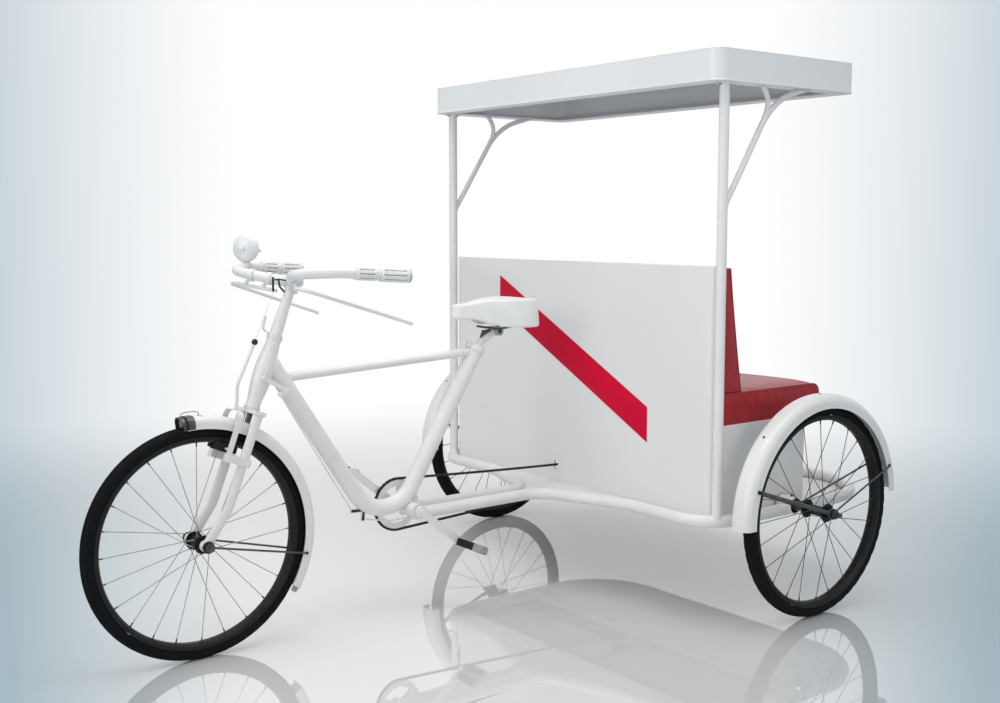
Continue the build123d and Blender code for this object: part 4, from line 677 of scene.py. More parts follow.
add_run(black_bracket, [bar_place(22.0, 0, 6.0), bar_place(44.0, 0, 10.0), bar_place(65.0, 0, 9.0)], 0.0024,
        10)
add_run(black_bracket, [bar_place(46.0, 0, 8.0), bar_place(43.0, 0, -12.0), bar_place(28.0, 0, -28.0),
                        bar_place(14.0, 0, -36.0)],
        0.0030, 10)
piece("lever_bracket", black_bracket, bolt_steel, "steering")

# ---- Bell ----
# A spun steel dome with a rolled rim on a cast back plate, struck by a thumb lever and lacquered
# white, clamped to the right side of the bar.
BELL_SHARE = 0.76
BELL_FACE = radians(35.0)
bell_paint = finish_material("white_bell_lacquer", (0.82, 0.82, 0.825), 0.2, Coat_Weight=0.6,
                             Coat_Roughness=0.06)
mottle(bell_paint, 30.0, (0.76, 0.765, 0.775))
uneven_gloss(bell_paint, 50.0, 0.16, 0.28)
relief(bell_paint, grain(bell_paint, 300.0, 2.0), 0.00003, 0.4)
seat = mid(bar_place(112.0, -190.0, 33.0), bar_place(-4.0, -284.0, 38.0), BELL_SHARE)
clip_axis = (bar_place(112.0, -190.0, 33.0) - bar_place(-4.0, -284.0, 38.0)).normalized()
centre = seat + Vector((0, 0, 0.0625))
face = Vector((cos(BELL_FACE), sin(BELL_FACE), 0))
shape = bmesh.new()
dome = [(0, -0.0155), (0.033, -0.0155), (0.039, -0.0135), (0.0420, -0.009), (0.0420, -0.003),
        (0.0438, -0.0022), (0.0452, -0.0008), (0.0456, 0.0012), (0.0448, 0.0030), (0.0434, 0.0036)]
dome += [(0.0434 * cos(t), 0.0040 + 0.0190 * sin(t))
         for t in [radians(a) for a in (10, 22, 34, 46, 58, 70, 80)]]
dome += [(0.0086, 0.0230), (0.0082, 0.0208), (0.0068, 0.0208), (0.0064, 0.0258), (0.0052, 0.0268),
         (0, 0.0270)]
add_turned(shape, centre, face, dome, 64)
add_turned(shape, centre, Vector((0, 0, -1)),
           [(0, 0.02), (0.0062, 0.02), (0.0062, 0.0425), (0.010, 0.046), (0, 0.046)], 24)
add_turned(shape, seat - clip_axis * 0.009, clip_axis,
           [(0.0157, 0), (0.0189, 0), (0.0195, 0.0012), (0.0195, 0.0168), (0.0189, 0.018), (0.0157, 0.018)],
           36)
thumb = centre - face * 0.010
side_way = face.cross(UP)
add_run(shape, [thumb - side_way * 0.02, thumb - side_way * 0.042 - Vector((0, 0, 0.004)),
                thumb - side_way * 0.049 - Vector((0, 0, 0.010)) + face * 0.006], 0.0032, 10,
        radii=[0.0032, 0.0034, 0.0044])
held = piece("bell_dome", shape, bell_paint, "steering")
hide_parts("bell")

# ---- Lamp bracket ----
# A flat strip bent forward from a ring under the stem, for a lamp that isn't fitted.
dress("lamp_bracket", tube_paint)

# ---- Front brake ----
# A rod brake: a knob-ended rod draws a stirrup of flat steel up, so that two rubber pads press on
# the inside of the rim. A clamp round each fork leg guides it.
WHEEL_CENTRE = at(WHEELBASE, 0, AXLE_Z)
steer_root = WHEEL_CENTRE - HEAD_AHEAD * (FORK_OFFSET / 1000.0)
dress("front_brake", tube_paint)
black_rubber = finish_material("black_moulded_rubber", (0.009, 0.009, 0.0095), 0.62, Specular_IOR_Level=0.3)
mottle(black_rubber, 60.0, (0.02, 0.0195, 0.019), 0.4, 0.8)
uneven_gloss(black_rubber, 70.0, 0.5, 0.75)
relief(black_rubber, grain(black_rubber, 1100.0, 2.0), 0.00008, 0.6)


def steer_place(forward, y, up):
    """A place ahead of the steering axis, to the left and up along it, in mm."""
    return steer_root + HEAD_AHEAD * (forward / 1000.0) + Vector((0, y / 1000.0, 0)) + HEAD_UP * (up / 1000.0)


shape = bmesh.new()
screws = bmesh.new()
for side in (1, -1):
    add_block(shape, steer_place(53.0, side * 19.5, 288.0), HEAD_AHEAD, LEFT, (0.074, 0.0125, 0.0215), 0.0028)
    for n in range(-3, 4):
        add_block(shape, steer_place(53.0 + n * 9.6, side * 19.5, 299.4), HEAD_AHEAD, LEFT,
                  (0.0068, 0.0110, 0.0030), 0.0007)
    add_block(screws, steer_place(53.0, side * 19.5, 276.4), HEAD_AHEAD, LEFT, (0.052, 0.0090, 0.0040), 0.001)
piece("brake_pads", shape, black_rubber, "steering")
knob = steer_place(58.0, 0, 612.0)
add_turned(screws, knob - HEAD_UP * 0.0118, HEAD_UP,
           [(0, 0)] + [(0.0096 * sin(t), 0.0118 - 0.0100 * cos(t))
                       for t in [radians(a) for a in range(20, 180, 20)]]
           + [(0, 0.0218)], 28)
piece("front_brake_screws", screws, bolt_steel, "steering")
shape = bmesh.new()
add_run(shape, [knob + HEAD_UP * 0.008, bar_place(65.0, 0, -30.0), bar_place(65.0, 0, -16.0)], 0.0011, 8)
for side in (1, -1):
    for forward in (-12.0, 34.0):
        add_bolt(shape, steer_place(forward, side * 68.2, 262.0), Vector((0, side, 0)), 2.8, washer=1.3)
piece("front_brake_wire", shape, tube_paint, "steering")

# ---- Mudguards ----
# Rolled steel strip with a wired edge, sprayed white inside and out, each held by thin stays with
# one screw apiece. The front one has a rubber tip and a short painted lip at its lower end.
GUARD_EDGES = [             # name, body, wheel x and y, edge radius, half width, start and end in degrees
    ("rear_left", "chassis", 0.0, 857.0, 343.0, 38.0, -1.5, 176.0),
    ("rear_right", "chassis", 0.0, -857.0, 343.0, 38.0, -1.5, 176.0),
    ("front", "steering", WHEELBASE, 0.0, 343.0, 29.0, 84.0, 211.0),
]
guard_paint = white_paint("white_mudguard_paint", 1.4, 0.31)
for node in ("front_mudguard", "rear_mudguard_left", "rear_mudguard_right"):
    dress(node, guard_paint)


def round_axle(x, radius, angle, y):
    """A place at a radius and an angle above forward from an axle, in mm and degrees."""
    return at(x + radius * cos(radians(angle)), y, AXLE_Z + radius * sin(radians(angle)))


for name, body, x, y, edge, half, start, end in GUARD_EDGES:
    shape = bmesh.new()
    for side in (1, -1):
        steps = int((end - start) / 2.0)
        bead = [round_axle(x, edge - 0.6, start + (end - start) * n / steps, y + side * (half - 1.3))
                for n in range(steps + 1)]
        add_run(shape, bead, 0.0023, 10)
    piece(f"mudguard_wire_{name}", shape, guard_paint, body)

stay_steel = finish_material("dark_stay_steel", (0.085, 0.086, 0.09), 0.36, Metallic=0.7)
mottle(stay_steel, 40.0, (0.15, 0.148, 0.145), 0.4, 0.8)
uneven_gloss(stay_steel, 90.0, 0.26, 0.46)
relief(stay_steel, grain(stay_steel, 700.0), 0.00003, 0.4)
for node in ("mudguard_stays_left", "mudguard_stays_right", "front_mudguard_fittings"):
    dress(node, stay_steel)

shape = bmesh.new()
for side in (1, -1):
    for angle in (18.5, 161.0):
        seat = round_axle(0, 352.0, angle, side * (857.0 + 38.0))
        add_bolt(shape, seat, Vector((0, side, 0)), 4.4)
    for angle in (45.0, 90.0, 135.0):
        add_turned(shape, round_axle(0, 384.8, angle, side * 857.0),
                   Vector((cos(radians(angle)), 0, sin(radians(angle)))),
                   [(0.0045, 0), (0.0045, 0.0006), (0.0034, 0.0016), (0, 0.0021)], 18)
piece("rear_mudguard_screws", shape, bolt_steel, "chassis")
shape = bmesh.new()
for side in (1, -1):
    add_bolt(shape, round_axle(WHEELBASE, 350.0, 193.5, side * 33.0), Vector((0, side, 0)), 3.4)
    add_turned(shape, round_axle(WHEELBASE, 376.6, 92.0, side * 9.0), UP,
               [(0.0034, 0), (0.0034, 0.0006), (0.0024, 0.0014), (0, 0.0018)], 16)
piece("front_mudguard_screws", shape, bolt_steel, "steering")

# The painted lip runs on from the front guard's lower end, and the tip wraps its upper end.
LIP_START, LIP_STEP = 208.0, 0.95       # degrees above forward, and from row to row
shape = bmesh.new()
rows = []
for n in range(7):
    angle = LIP_START + n * LIP_STEP
    radius = 373.5 - 0.3 * n
    half = 20.0 - 0.35 * n * n * 0.5
    rows.append([shape.verts.new(round_axle(WHEELBASE, radius - lift, angle, y)) for lift, y in
                 ((0.0, -half), (0.0, half), (3.0, half), (3.0, -half))])
add_skin(shape, rows)
shape.faces.new(rows[0])
shape.faces.new(rows[-1])
piece("front_mudguard_flap", shape, guard_paint, "steering")

TIP_ANGLES = (83.5, 83.7, 84.1, 84.5, 84.7)     # degrees above forward
GUARD_SECTION = [(343.0, 32.4), (358.0, 32.4), (366.5, 31.0), (373.6, 26.6), (378.6, 19.4), (380.9, 9.6),
                 (381.5, 0.0)]
shape = bmesh.new()
section = GUARD_SECTION + [(r, -y) for r, y in reversed(GUARD_SECTION[:-1])]
inner = [(r - (2.2 if abs(y) < 31 else 0.4), y * 0.935) for r, y in section]
loop = section + inner[::-1]
rows = []
for angle in TIP_ANGLES:
    ease = 0.5 if angle in (TIP_ANGLES[0], TIP_ANGLES[-1]) else 0.0
    rows.append([shape.verts.new(round_axle(WHEELBASE, r - (ease if k < len(section) else -ease), angle, y))
                 for k, (r, y) in enumerate(loop)])
add_skin(shape, rows)
for row in (rows[0], rows[-1]):
    for k in range(len(section) - 1):
        shape.faces.new((row[k], row[k + 1], row[-2 - k], row[-1 - k]))
piece("front_mudguard_tip", shape, black_rubber, "steering")

# A thin wire loop on the guard's nose once held a pennant.
shape = bmesh.new()
loop = [round_axle(WHEELBASE, r, a, 0.0) for r,
        a in ((376, 91.5), (383, 91.6), (388, 91.0), (390, 89.5), (391, 87.0),
                                                      (391, 84.8), (389, 83.6), (385, 83.3))]
add_run(shape, loop, 0.0012, 8)
piece("pennant_wire", shape, stay_steel, "steering")

# ---- Wheels ----
# Laced wheels of 28 inch size: black rims rolled from strip, dark hubs turned from bar, and
# galvanised spokes that each end in a nipple in the rim.
SPOKES_PER_SIDE = 12
SPOKE_LEAN = 60.0
SPOKE_END_R = 300.2
HUB_EDGE = (0.0305, 0.0315)             # metres from the axle, where black turns to the spokes' colour
RIM_EDGE = (0.2985, 0.2975)             # and back to black
WHEELS = [                  # name, body, x, y, flange radius, flange y
    ("front", "front_wheel", WHEELBASE, 0.0, 27.0, 31.0),
    ("rear_left", "rear_wheel_left", 0.0, 857.0, 30.0, 40.0),
    ("rear_right", "rear_wheel_right", 0.0, -857.0, 30.0, 40.0),
]


def wheel_metal(name, x, spoke):
    """Black rim and hub with spokes of another colour between them, told apart by radius."""
    made = finish_material(name, (0.006, 0.006, 0.0065), 0.45, Specular_IOR_Level=0.3)
    tree = made.node_tree
    shader = tree.nodes["Principled BSDF"]
    place = add_node(tree, "TexCoord")
    centre = at(x, 0, AXLE_Z)
    away = add_node(tree, "VectorMath", "SUBTRACT")
    away.inputs[1].default_value = centre
    flat = add_node(tree, "VectorMath", "MULTIPLY")
    flat.inputs[1].default_value = (1.0, 0.0, 1.0)
    reach = add_node(tree, "VectorMath", "LENGTH")
    join(tree, (place.outputs["Object"], away.inputs[0]), (away.outputs["Vector"], flat.inputs[0]),
         (flat.outputs["Vector"], reach.inputs[0]))
    outside_hub = ramp_between(tree, reach.outputs["Value"], *HUB_EDGE, False)
    inside_rim = ramp_between(tree, reach.outputs["Value"], *RIM_EDGE, False)
    spoke_here = add_node(tree, "Math", "MULTIPLY")
    join(tree, (outside_hub, spoke_here.inputs[0]), (inside_rim, spoke_here.inputs[1]))
    black = mixed_colour(tree, ramp_between(tree, grain(made, 50.0), 0.45, 0.8), (0.005, 0.005, 0.0055),
                         (0.014, 0.014, 0.0145))
    steel = mixed_colour(tree, ramp_between(tree, grain(made, 30.0), 0.3, 0.8), spoke,
                         tuple(c * 0.6 for c in spoke))
    join(tree, (mixed_colour(tree, spoke_here.outputs[0], black, steel), shader.inputs["Base Color"]))
    uneven_gloss(made, 120.0, 0.4, 0.6)
    relief(made, grain(made, 500.0), 0.00004, 0.4)
    return made


nipple_steel = finish_material("dark_nipple_steel", (0.05, 0.05, 0.053), 0.32, Metallic=0.8)
mottle(nipple_steel, 120.0, (0.11, 0.11, 0.108))
uneven_gloss(nipple_steel, 200.0, 0.25, 0.45)
relief(nipple_steel, grain(nipple_steel, 900.0), 0.00002, 0.4)
for name, body, x, y, flange_r, flange_y in WHEELS:
    dress(f"{name}_wheel", wheel_metal(f"{name}_wheel_metal", x,
                                       (0.42, 0.425, 0.43) if name == "front" else (0.07, 0.071, 0.073)))
    shape = bmesh.new()
    pitch = 360.0 / SPOKES_PER_SIDE
    for side in (1, -1):
        for n in range(SPOKES_PER_SIDE):
            way = 1 if n % 2 else -1
            start = n * pitch + (pitch / 2 if side < 0 else 0)
            seat = Vector((flange_r - 4.8) * Vector((cos(radians(start)), 0, sin(radians(start)))))
            seat.y = side * (flange_y + way * 1.8)
            turn = radians(start + way * SPOKE_LEAN)
            end = Vector((SPOKE_END_R * cos(turn), side * 3.0, SPOKE_END_R * sin(turn)))
            hub_place, rim_place = [at(x + p.x, y + p.y, AXLE_Z + p.z) for p in (seat, end)]
            inward = (hub_place - rim_place).normalized()
            add_turned(shape, rim_place, inward, [(0, 0), (0.0034, 0.0), (0.0034, 0.0022), (0.0023, 0.0034),
                                                  (0.0022, 0.0125), (0.0016, 0.0140), (0, 0.0140)], 8)
            add_turned(shape, at(x + seat.x, y + side * (flange_y + way * 1.9), AXLE_Z + seat.z),
                       Vector((0, side * way, 0)),
                       [(0, -0.001), (0.0024, -0.001), (0.0024, 0.0002), (0.0017, 0.0011), (0, 0.0014)], 8)
    piece(f"{name}_nipples", shape, nipple_steel, body)

# ---- Tyres ----
# Black rubber clinchers, with a ribbed tread, shoulder blocks and a fine raised line on each wall.
TYRE_R = 350.0
TYRE_SECTION = 21.0
TYRE_STEPS = 288
tyre_rubber = finish_material("black_tyre_rubber", (0.0035, 0.0035, 0.0037), 0.8, Specular_IOR_Level=0.18)
mottle(tyre_rubber, 22.0, (0.008, 0.008, 0.0078), 0.45, 0.85)
uneven_gloss(tyre_rubber, 35.0, 0.7, 0.92)
relief(tyre_rubber, grain(tyre_rubber, 800.0, 2.0), 0.00012, 0.6)
TYRE_WALL = [               # degrees round the section from its crown, height above the round in mm
    (3.0, 0.0), (7.5, 0.0), (9.0, -1.0), (12.0, -1.0), (13.5, 0.0), (24.0, 0.0), (25.5, -1.0), (29.0, -1.0),
    (30.5, 0.1), (40.0, 0.1), (50.0, 0.1), (56.0, 0.1), (58.0, -0.9), (68.0, -1.0), (76.0, -1.0),
    (77.5, -0.4),
    (80.0, -0.4), (81.5, -1.0), (95.0, -0.9), (108.0, -0.6), (110.0, 0.0), (114.0, 0.1), (118.0, -0.4),
    (126.0, -1.6),
]
for name, body, x, y, *_ in WHEELS:
    shape = bmesh.new()
    section = [(-angle, height) for angle, height in reversed(TYRE_WALL)] + TYRE_WALL
    rows = []
    for n in range(TYRE_STEPS):
        turn = 2 * pi * n / TYRE_STEPS
        row = []
        for angle, height in section:
            block = 30.0 <= abs(angle) <= 57.0
            if block and (n + (3 if angle > 0 else 0)) % 6 < 2:
                height -= 1.1
            r = TYRE_SECTION - 0.05 + height
            radius = TYRE_R - TYRE_SECTION + r * cos(radians(angle))
            row.append(shape.verts.new(at(x + radius * cos(turn), y + r * sin(radians(angle)),
                                          AXLE_Z + radius * sin(turn))))
        rows.append(row)
    add_skin(shape, rows, closed=True)
    held = piece(f"{name}_tyre_tread", shape, tyre_rubber, body)
    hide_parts(f"{name}_tyre")

# ---- Axle nuts ----
# Hexagon nuts and plain washers of blackened steel clamp the wheels, eyes and stays together.
for node in ("front_axle", "rear_axle_left", "drive_shaft"):
    dress(node, stay_steel)
AXLE_NUTS = [               # body, x, nut's inner face, side, thread radius
    ("steering", WHEELBASE, 72.0, 1, 6.0), ("steering", WHEELBASE, 72.0, -1, 6.0),
    ("chassis", 0.0, 920.9, 1, 8.0), ("rear_wheel_right", 0.0, 921.7, -1, 8.0),
]
for body in ("steering", "chassis", "rear_wheel_right"):
    shape = bmesh.new()
    for owner, x, face_y, side, thread in AXLE_NUTS:
        if owner != body:
            continue
        seat = at(x, side * (face_y + 0.1), AXLE_Z)
        out = Vector((0, side, 0))
        add_turned(shape, seat, out, [(0.0125, 0), (0.0180, 0), (0.0180, 0.0014), (0.0172, 0.002),
                                      (0.0125, 0.002)], 32)
        add_turned(shape, seat + out * 0.002, out,
                   [(0.0125, 0), (0.0143, 0), (0.0151, 0.0008), (0.0151, 0.0104),
                                                    (0.0143, 0.0116), (0.0125, 0.0120)], 6)
        tip = seat + out * 0.0139
        for n in range(2 if body == "steering" else 7):
            add_turned(shape, tip + out * (0.0006 + 0.002 * n), out,
                       [(thread / 1000 - 0.0002, 0), (thread / 1000 + 0.0003, 0.0005),
                        (thread / 1000 - 0.0002, 0.001)], 24)
    piece(f"axle_nuts_{body}", shape, bolt_steel, body)

# ---- Cranks and chainring ----
# Forged steel cranks cottered on one axle, the right one with a pressed chainring on three arms,
# all sprayed white with the frame.
CHAIN_Y = -67.0
RING_PITCH = 87.0
SPROCKET_PITCH = 36.5
RING_TEETH = 43
SPROCKET_TEETH = 18
CRANK_ANGLE = radians(38.5)
CRANK_LENGTH = 205.0
crank_paint = white_paint("white_crank_paint", 2.0, 0.3)
dress("crankset", crank_paint)


def add_teeth(shape, centre, pitch_r, teeth, root_r, half):
    """A toothed ring about an axle along Y."""
    outline = []
    for n in range(teeth):
        for share, radius in ((0.0, root_r), (0.22, root_r), (0.40, pitch_r + 1.9), (0.60, pitch_r + 1.9),
                              (0.78, root_r)):
            outline.append((2 * pi * (n + share) / teeth, radius))
    inside = [(turn, root_r - 1.2) for turn, radius in outline]
    rows = []
    for edge, offset in ((outline, -half), (outline, half), (inside, half), (inside, -half)):
        rows.append([shape.verts.new(centre + Vector((cos(turn), 0, sin(turn))) * (radius / 1000.0)
                                     + Vector((0, offset / 1000.0, 0))) for turn, radius in edge])
    add_skin(shape, rows, closed=True)


crank_centre = at(CRANK_X, 0, CRANK_Z)
ring_centre = at(CRANK_X, CHAIN_Y, CRANK_Z)
sprocket_centre = at(0, CHAIN_Y, AXLE_Z)
shape = bmesh.new()
add_teeth(shape, ring_centre, RING_PITCH, RING_TEETH, 83.2, 1.1)
piece("chainring_teeth", shape, crank_paint, "crankset", smooth=False)
shape = bmesh.new()
add_teeth(shape, sprocket_centre, SPROCKET_PITCH, SPROCKET_TEETH, 32.6, 1.1)
piece("sprocket_teeth", shape, stay_steel, "rear_wheel_right", smooth=False)
shape = bmesh.new()
for side in (1, -1):
    out = Vector((0, side, 0))
    add_turned(shape, crank_centre + out * 0.088, out,
               [(0, 0), (0.0100, 0), (0.0100, 0.0012), (0.0085, 0.0026), (0, 0.003)], 28)
    reach = Vector((cos(CRANK_ANGLE), 0, sin(CRANK_ANGLE))) * -side
    cotter = reach.cross(out).normalized()
    foot = crank_centre + out * 0.082 + reach * 0.0125
    add_turned(shape, foot - cotter * 0.0235, cotter,
               [(0, 0), (0.0042, 0), (0.0046, 0.001), (0.0046, 0.046), (0.0042, 0.047), (0, 0.047)], 16)
    add_turned(shape, foot + cotter * 0.0195, cotter,
               [(0.004, 0), (0.0066, 0), (0.0066, 0.0038), (0.004, 0.0042)], 6)
piece("crank_cotters", shape, crank_paint, "crankset")

# ---- Pedals ----
# Two ribbed black rubber blocks held between pressed steel plates by long rivets, turning on a
# barrel with a dust cap.
PEDAL_Y = 94.0
PEDAL_LENGTH = 94.0
PEDAL_TILT = radians(25.0)
PEDAL_AHEAD = Vector((cos(PEDAL_TILT), 0, sin(PEDAL_TILT)))
PEDAL_UP = Vector((-sin(PEDAL_TILT), 0, cos(PEDAL_TILT)))
pedal_steel = finish_material("pale_pedal_steel", (0.42, 0.42, 0.42), 0.4, Metallic=0.3)
mottle(pedal_steel, 60.0, (0.3, 0.3, 0.3))
uneven_gloss(pedal_steel, 120.0, 0.34, 0.5)
relief(pedal_steel, grain(pedal_steel, 900.0), 0.00003, 0.4)
for name, side in (("left", 1), ("right", -1)):
    reach = -side * CRANK_LENGTH
    hub_place = at(CRANK_X + reach * cos(CRANK_ANGLE), side * PEDAL_Y, CRANK_Z + reach * sin(CRANK_ANGLE))
    out = Vector((0, side, 0))
    middle = hub_place + out * (PEDAL_LENGTH / 2000.0)
    rubber = bmesh.new()
    for way in (1, -1):
        centre = middle + PEDAL_AHEAD * (way * 0.023)
        add_block(rubber, centre, PEDAL_AHEAD, out, (0.0185, 0.082, 0.021), 0.003)
        for n in range(9):
            spot = centre + out * ((n - 4) * 0.0092)
            for lift in (1, -1):
                add_block(rubber, spot + PEDAL_UP * (lift * 0.0110), PEDAL_AHEAD, out,
                          (0.0165, 0.0052, 0.0034), 0.0009)
            add_block(rubber, spot + PEDAL_AHEAD * (way * 0.0094), PEDAL_AHEAD, out, (0.0016, 0.0052, 0.016),
                      0.0006)
    held = piece(f"pedal_{name}_blocks", rubber, black_rubber, f"pedal_{name}")
    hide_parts(f"pedal_{name}")
    # The inner plates take the dark stay steel as painted shade, the outer plates the pale steel.
    dark, steel = bmesh.new(), bmesh.new()
    for shape, along, way_out in ((dark, 2.0, -1), (steel, PEDAL_LENGTH - 2.0, 1)):
        plate = hub_place + out * (along / 1000.0)
        add_block(shape, plate, PEDAL_AHEAD, out, (0.064, 0.0024, 0.0235), 0.0008)
        for way in (1, -1):
            add_turned(shape, plate + PEDAL_AHEAD * (way * 0.023) + out * (0.0012 * way_out), out * way_out,
                       [(0, 0), (0.0046, 0), (0.004, 0.0014), (0, 0.0018)], 14)
    add_turned(steel, hub_place, out,
               [(0.0053, 0), (0.0094, 0), (0.0094, 0.006), (0.0078, 0.010), (0.0074, 0.040),
                                       (0.0078, 0.084), (0.0094, 0.088), (0.0094, 0.0945), (0.0082, 0.0965),
                                       (0, 0.0972)], 28)
    piece(f"pedal_{name}_inner_plate_painted_shade", dark, stay_steel, f"pedal_{name}")
    piece(f"pedal_{name}_cage", steel, pedal_steel, f"pedal_{name}")

# ---- Chain ----
# A half-inch roller chain of dark oiled steel: pairs of waisted plates on rollers, one pair inside
# the next, hanging a little slack along its upper run.
LINKS = 194
CHAIN_SAG = 5.0
PLATE_R, PLATE_WAIST = 0.0050, 0.0034
chain_steel = finish_material("oiled_chain_steel", (0.022, 0.021, 0.02), 0.4, Metallic=0.5)
mottle(chain_steel, 70.0, (0.05, 0.047, 0.044), 0.4, 0.75)
uneven_gloss(chain_steel, 120.0, 0.22, 0.48)
relief(chain_steel, grain(chain_steel, 900.0), 0.00003, 0.4)

run = ring_centre - sprocket_centre
tilt = asin((RING_PITCH - SPROCKET_PITCH) / 1000.0 / run.length)
along = run.normalized()
above = Vector((-along.z, 0, along.x))


def chain_touch(side, centre, radius):
    """Where the upper (1) or lower (-1) run meets a wheel."""
    return centre + (above * (side * cos(tilt)) - along * sin(tilt)) * (radius / 1000.0)


def arc_between(centre, first, last, clockwise, steps):
    """Points round a centre from one point to another."""
    a = atan2(first.z - centre.z, first.x - centre.x)
    b = atan2(last.z - centre.z, last.x - centre.x)
    radius = (first - centre).length
    sweep = (a - b) % (2 * pi) if clockwise else -((b - a) % (2 * pi))
    return [centre + Vector((cos(a - sweep * n / steps), 0, sin(a - sweep * n / steps))) * radius
            for n in range(steps)]


up_rear, up_front = chain_touch(1, sprocket_centre, SPROCKET_PITCH), chain_touch(1, ring_centre, RING_PITCH)
low_rear, low_front = chain_touch(-1, sprocket_centre, SPROCKET_PITCH), chain_touch(-1, ring_centre,
                                                                                    RING_PITCH)
track = [mid(up_rear, up_front, n / 60) - Vector((0, 0, 4 * CHAIN_SAG / 1000 * (n / 60) * (1 - n / 60)))
         for n in range(60)]
track += arc_between(ring_centre, up_front, low_front, True, 48)
track += [mid(low_front, low_rear, n / 60) for n in range(60)]
track += arc_between(sprocket_centre, low_rear, up_rear, True, 36)
lengths = [0.0]
for first, second in zip(track, track[1:] + track[:1]):
    lengths.append(lengths[-1] + (second - first).length)


def chain_place(share):
    """The point a share of the way round the chain."""
    goal = (share % 1.0) * lengths[-1]
    n = max(k for k in range(len(track)) if lengths[k] <= goal)
    return mid(track[n], track[(n + 1) % len(track)], (goal - lengths[n]) / (lengths[n + 1] - lengths[n]))


pins = [chain_place(n / LINKS) for n in range(LINKS)]
shape = bmesh.new()
for n, pin in enumerate(pins):
    ahead = (pins[(n + 1) % LINKS] - pin)
    reach = ahead.length
    ahead.normalize()
    square = Vector((-ahead.z, 0, ahead.x))
    outline = []
    for foot, turns, waist in ((reach, (-60, -20, 20, 60), PLATE_WAIST),
                               (0, (120, 160, 200, 240), -PLATE_WAIST)):
        outline += [pin + ahead * (foot + PLATE_R * cos(t)) + square * (PLATE_R * sin(t))
                    for t in map(radians, turns)]
        outline.append(pin + ahead * (reach / 2) + square * waist)
    plates = (1.25, 2.05) if n % 2 else (2.15, 2.95)
    for side in (1, -1):
        near, far = [[shape.verts.new(p + Vector((0, side * y / 1000.0, 0))) for p in outline]
                     for y in plates]
        shape.faces.new(near)
        shape.faces.new(far[::-1])
        add_skin(shape, [near, far])
    add_turned(shape, pin - Vector((0, 0.0034, 0)), LEFT,
               [(0, 0), (0.0014, 0), (0.0014, 0.0021), (0.0033, 0.0022), (0.0033, 0.0046), (0.0014, 0.0047),
                (0.0014, 0.0068), (0, 0.0068)], 8)
held = piece("roller_chain", shape, chain_steel, "chassis", smooth=False)
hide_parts("chain")

# ---- Rear brake linkage ----
# Pressed bell cranks and thin rods carry the right lever's pull back along the frame.
dress("rear_brake_linkage", tube_paint)
HEAD_FOOT = steer_axis(738.0)
shape = bmesh.new()
for x, z in ((-103.0, 42.0), (-20.0, 88.0), (-74.0, 34.0)):
    add_turned(shape, at(HEAD_FOOT + x, 38.4, 738.0 + z), LEFT,
               [(0, 0), (0.0052, 0), (0.0052, 0.0012), (0.0036, 0.0030), (0.0034, 0.0050), (0, 0.0054)], 22)
piece("linkage_rivets", shape, tube_paint, "chassis")
shape = bmesh.new()
crank_pivot = at(DOWN_LOW[0] + 10.5, 0, DOWN_LOW[1] + 2.0)
for x, z in ((52.5, 4.0), (13.5, -28.0)):
    arm_end = at(DOWN_LOW[0] + x, 0, DOWN_LOW[1] + z)
    arm = arm_end - crank_pivot
    for side in (1, -1):
        out = Vector((0, side, 0))
        add_block(shape, mid(crank_pivot, arm_end) + out * 0.0030, arm, out,
                  (arm.length + 0.008, 0.0016, 0.0085), 0.0006)
        add_bolt(shape, arm_end + out * 0.0036, out, 2.8, washer=0)
add_bolt(shape, crank_pivot + Vector((0, 0.0036, 0)), LEFT, 3.4)
add_bolt(shape, crank_pivot - Vector((0, 0.0036, 0)), Vector((0, -1, 0)), 3.4)
piece("linkage_cranks", shape, bolt_steel, "chassis")

# ---- Front wall ----
# Sheet steel folded round the seat box's front corners, its edge hemmed, sprayed satin white. A
# broad red stripe of glossy enamel crosses it from corner towards corner.
WALL_X = 334.0
WALL_LOW_Z, WALL_TOP_Z = 338.2, 1148.0
BODY_HALF = 703.0
CORNER_R = 35.0
WALL_END_X = 295.0
STRIPE = [(-405.0, 1085.0), (-405.0, 965.0), (405.0, 548.0), (405.0, 668.0)]     # y and z of its corners
panel_paint = white_paint("white_panel_paint", 0.7, 0.38, (0.775, 0.763, 0.757))
dress("front_wall", panel_paint)


def wall_outline(inset):
    """Half of the wall's plan from its left end to its middle, in mm."""
    turns = [radians(a) for a in range(90, -1, -9)]
    bend = [(WALL_X - CORNER_R + (CORNER_R - inset) * cos(t),
             BODY_HALF - CORNER_R + (CORNER_R - inset) * sin(t)) for t in turns]
    return [(WALL_END_X, BODY_HALF - inset)] + bend + [(WALL_X - inset, 0.0)]


shape = bmesh.new()
half = wall_outline(4.0)
hem = half + [(x, -y) for x, y in reversed(half[:-1])]
add_run(shape, [at(x, y, WALL_TOP_Z - 2.6) for x, y in hem], 0.0044, 12)
for side in (1, -1):
    add_run(shape, [at(WALL_END_X + 3.2, side * (BODY_HALF - 4.0), z)
                    for z in (WALL_LOW_Z + 300.0, WALL_TOP_Z - 3.0)], 0.0043, 10)
piece("wall_hem", shape, panel_paint, "chassis")

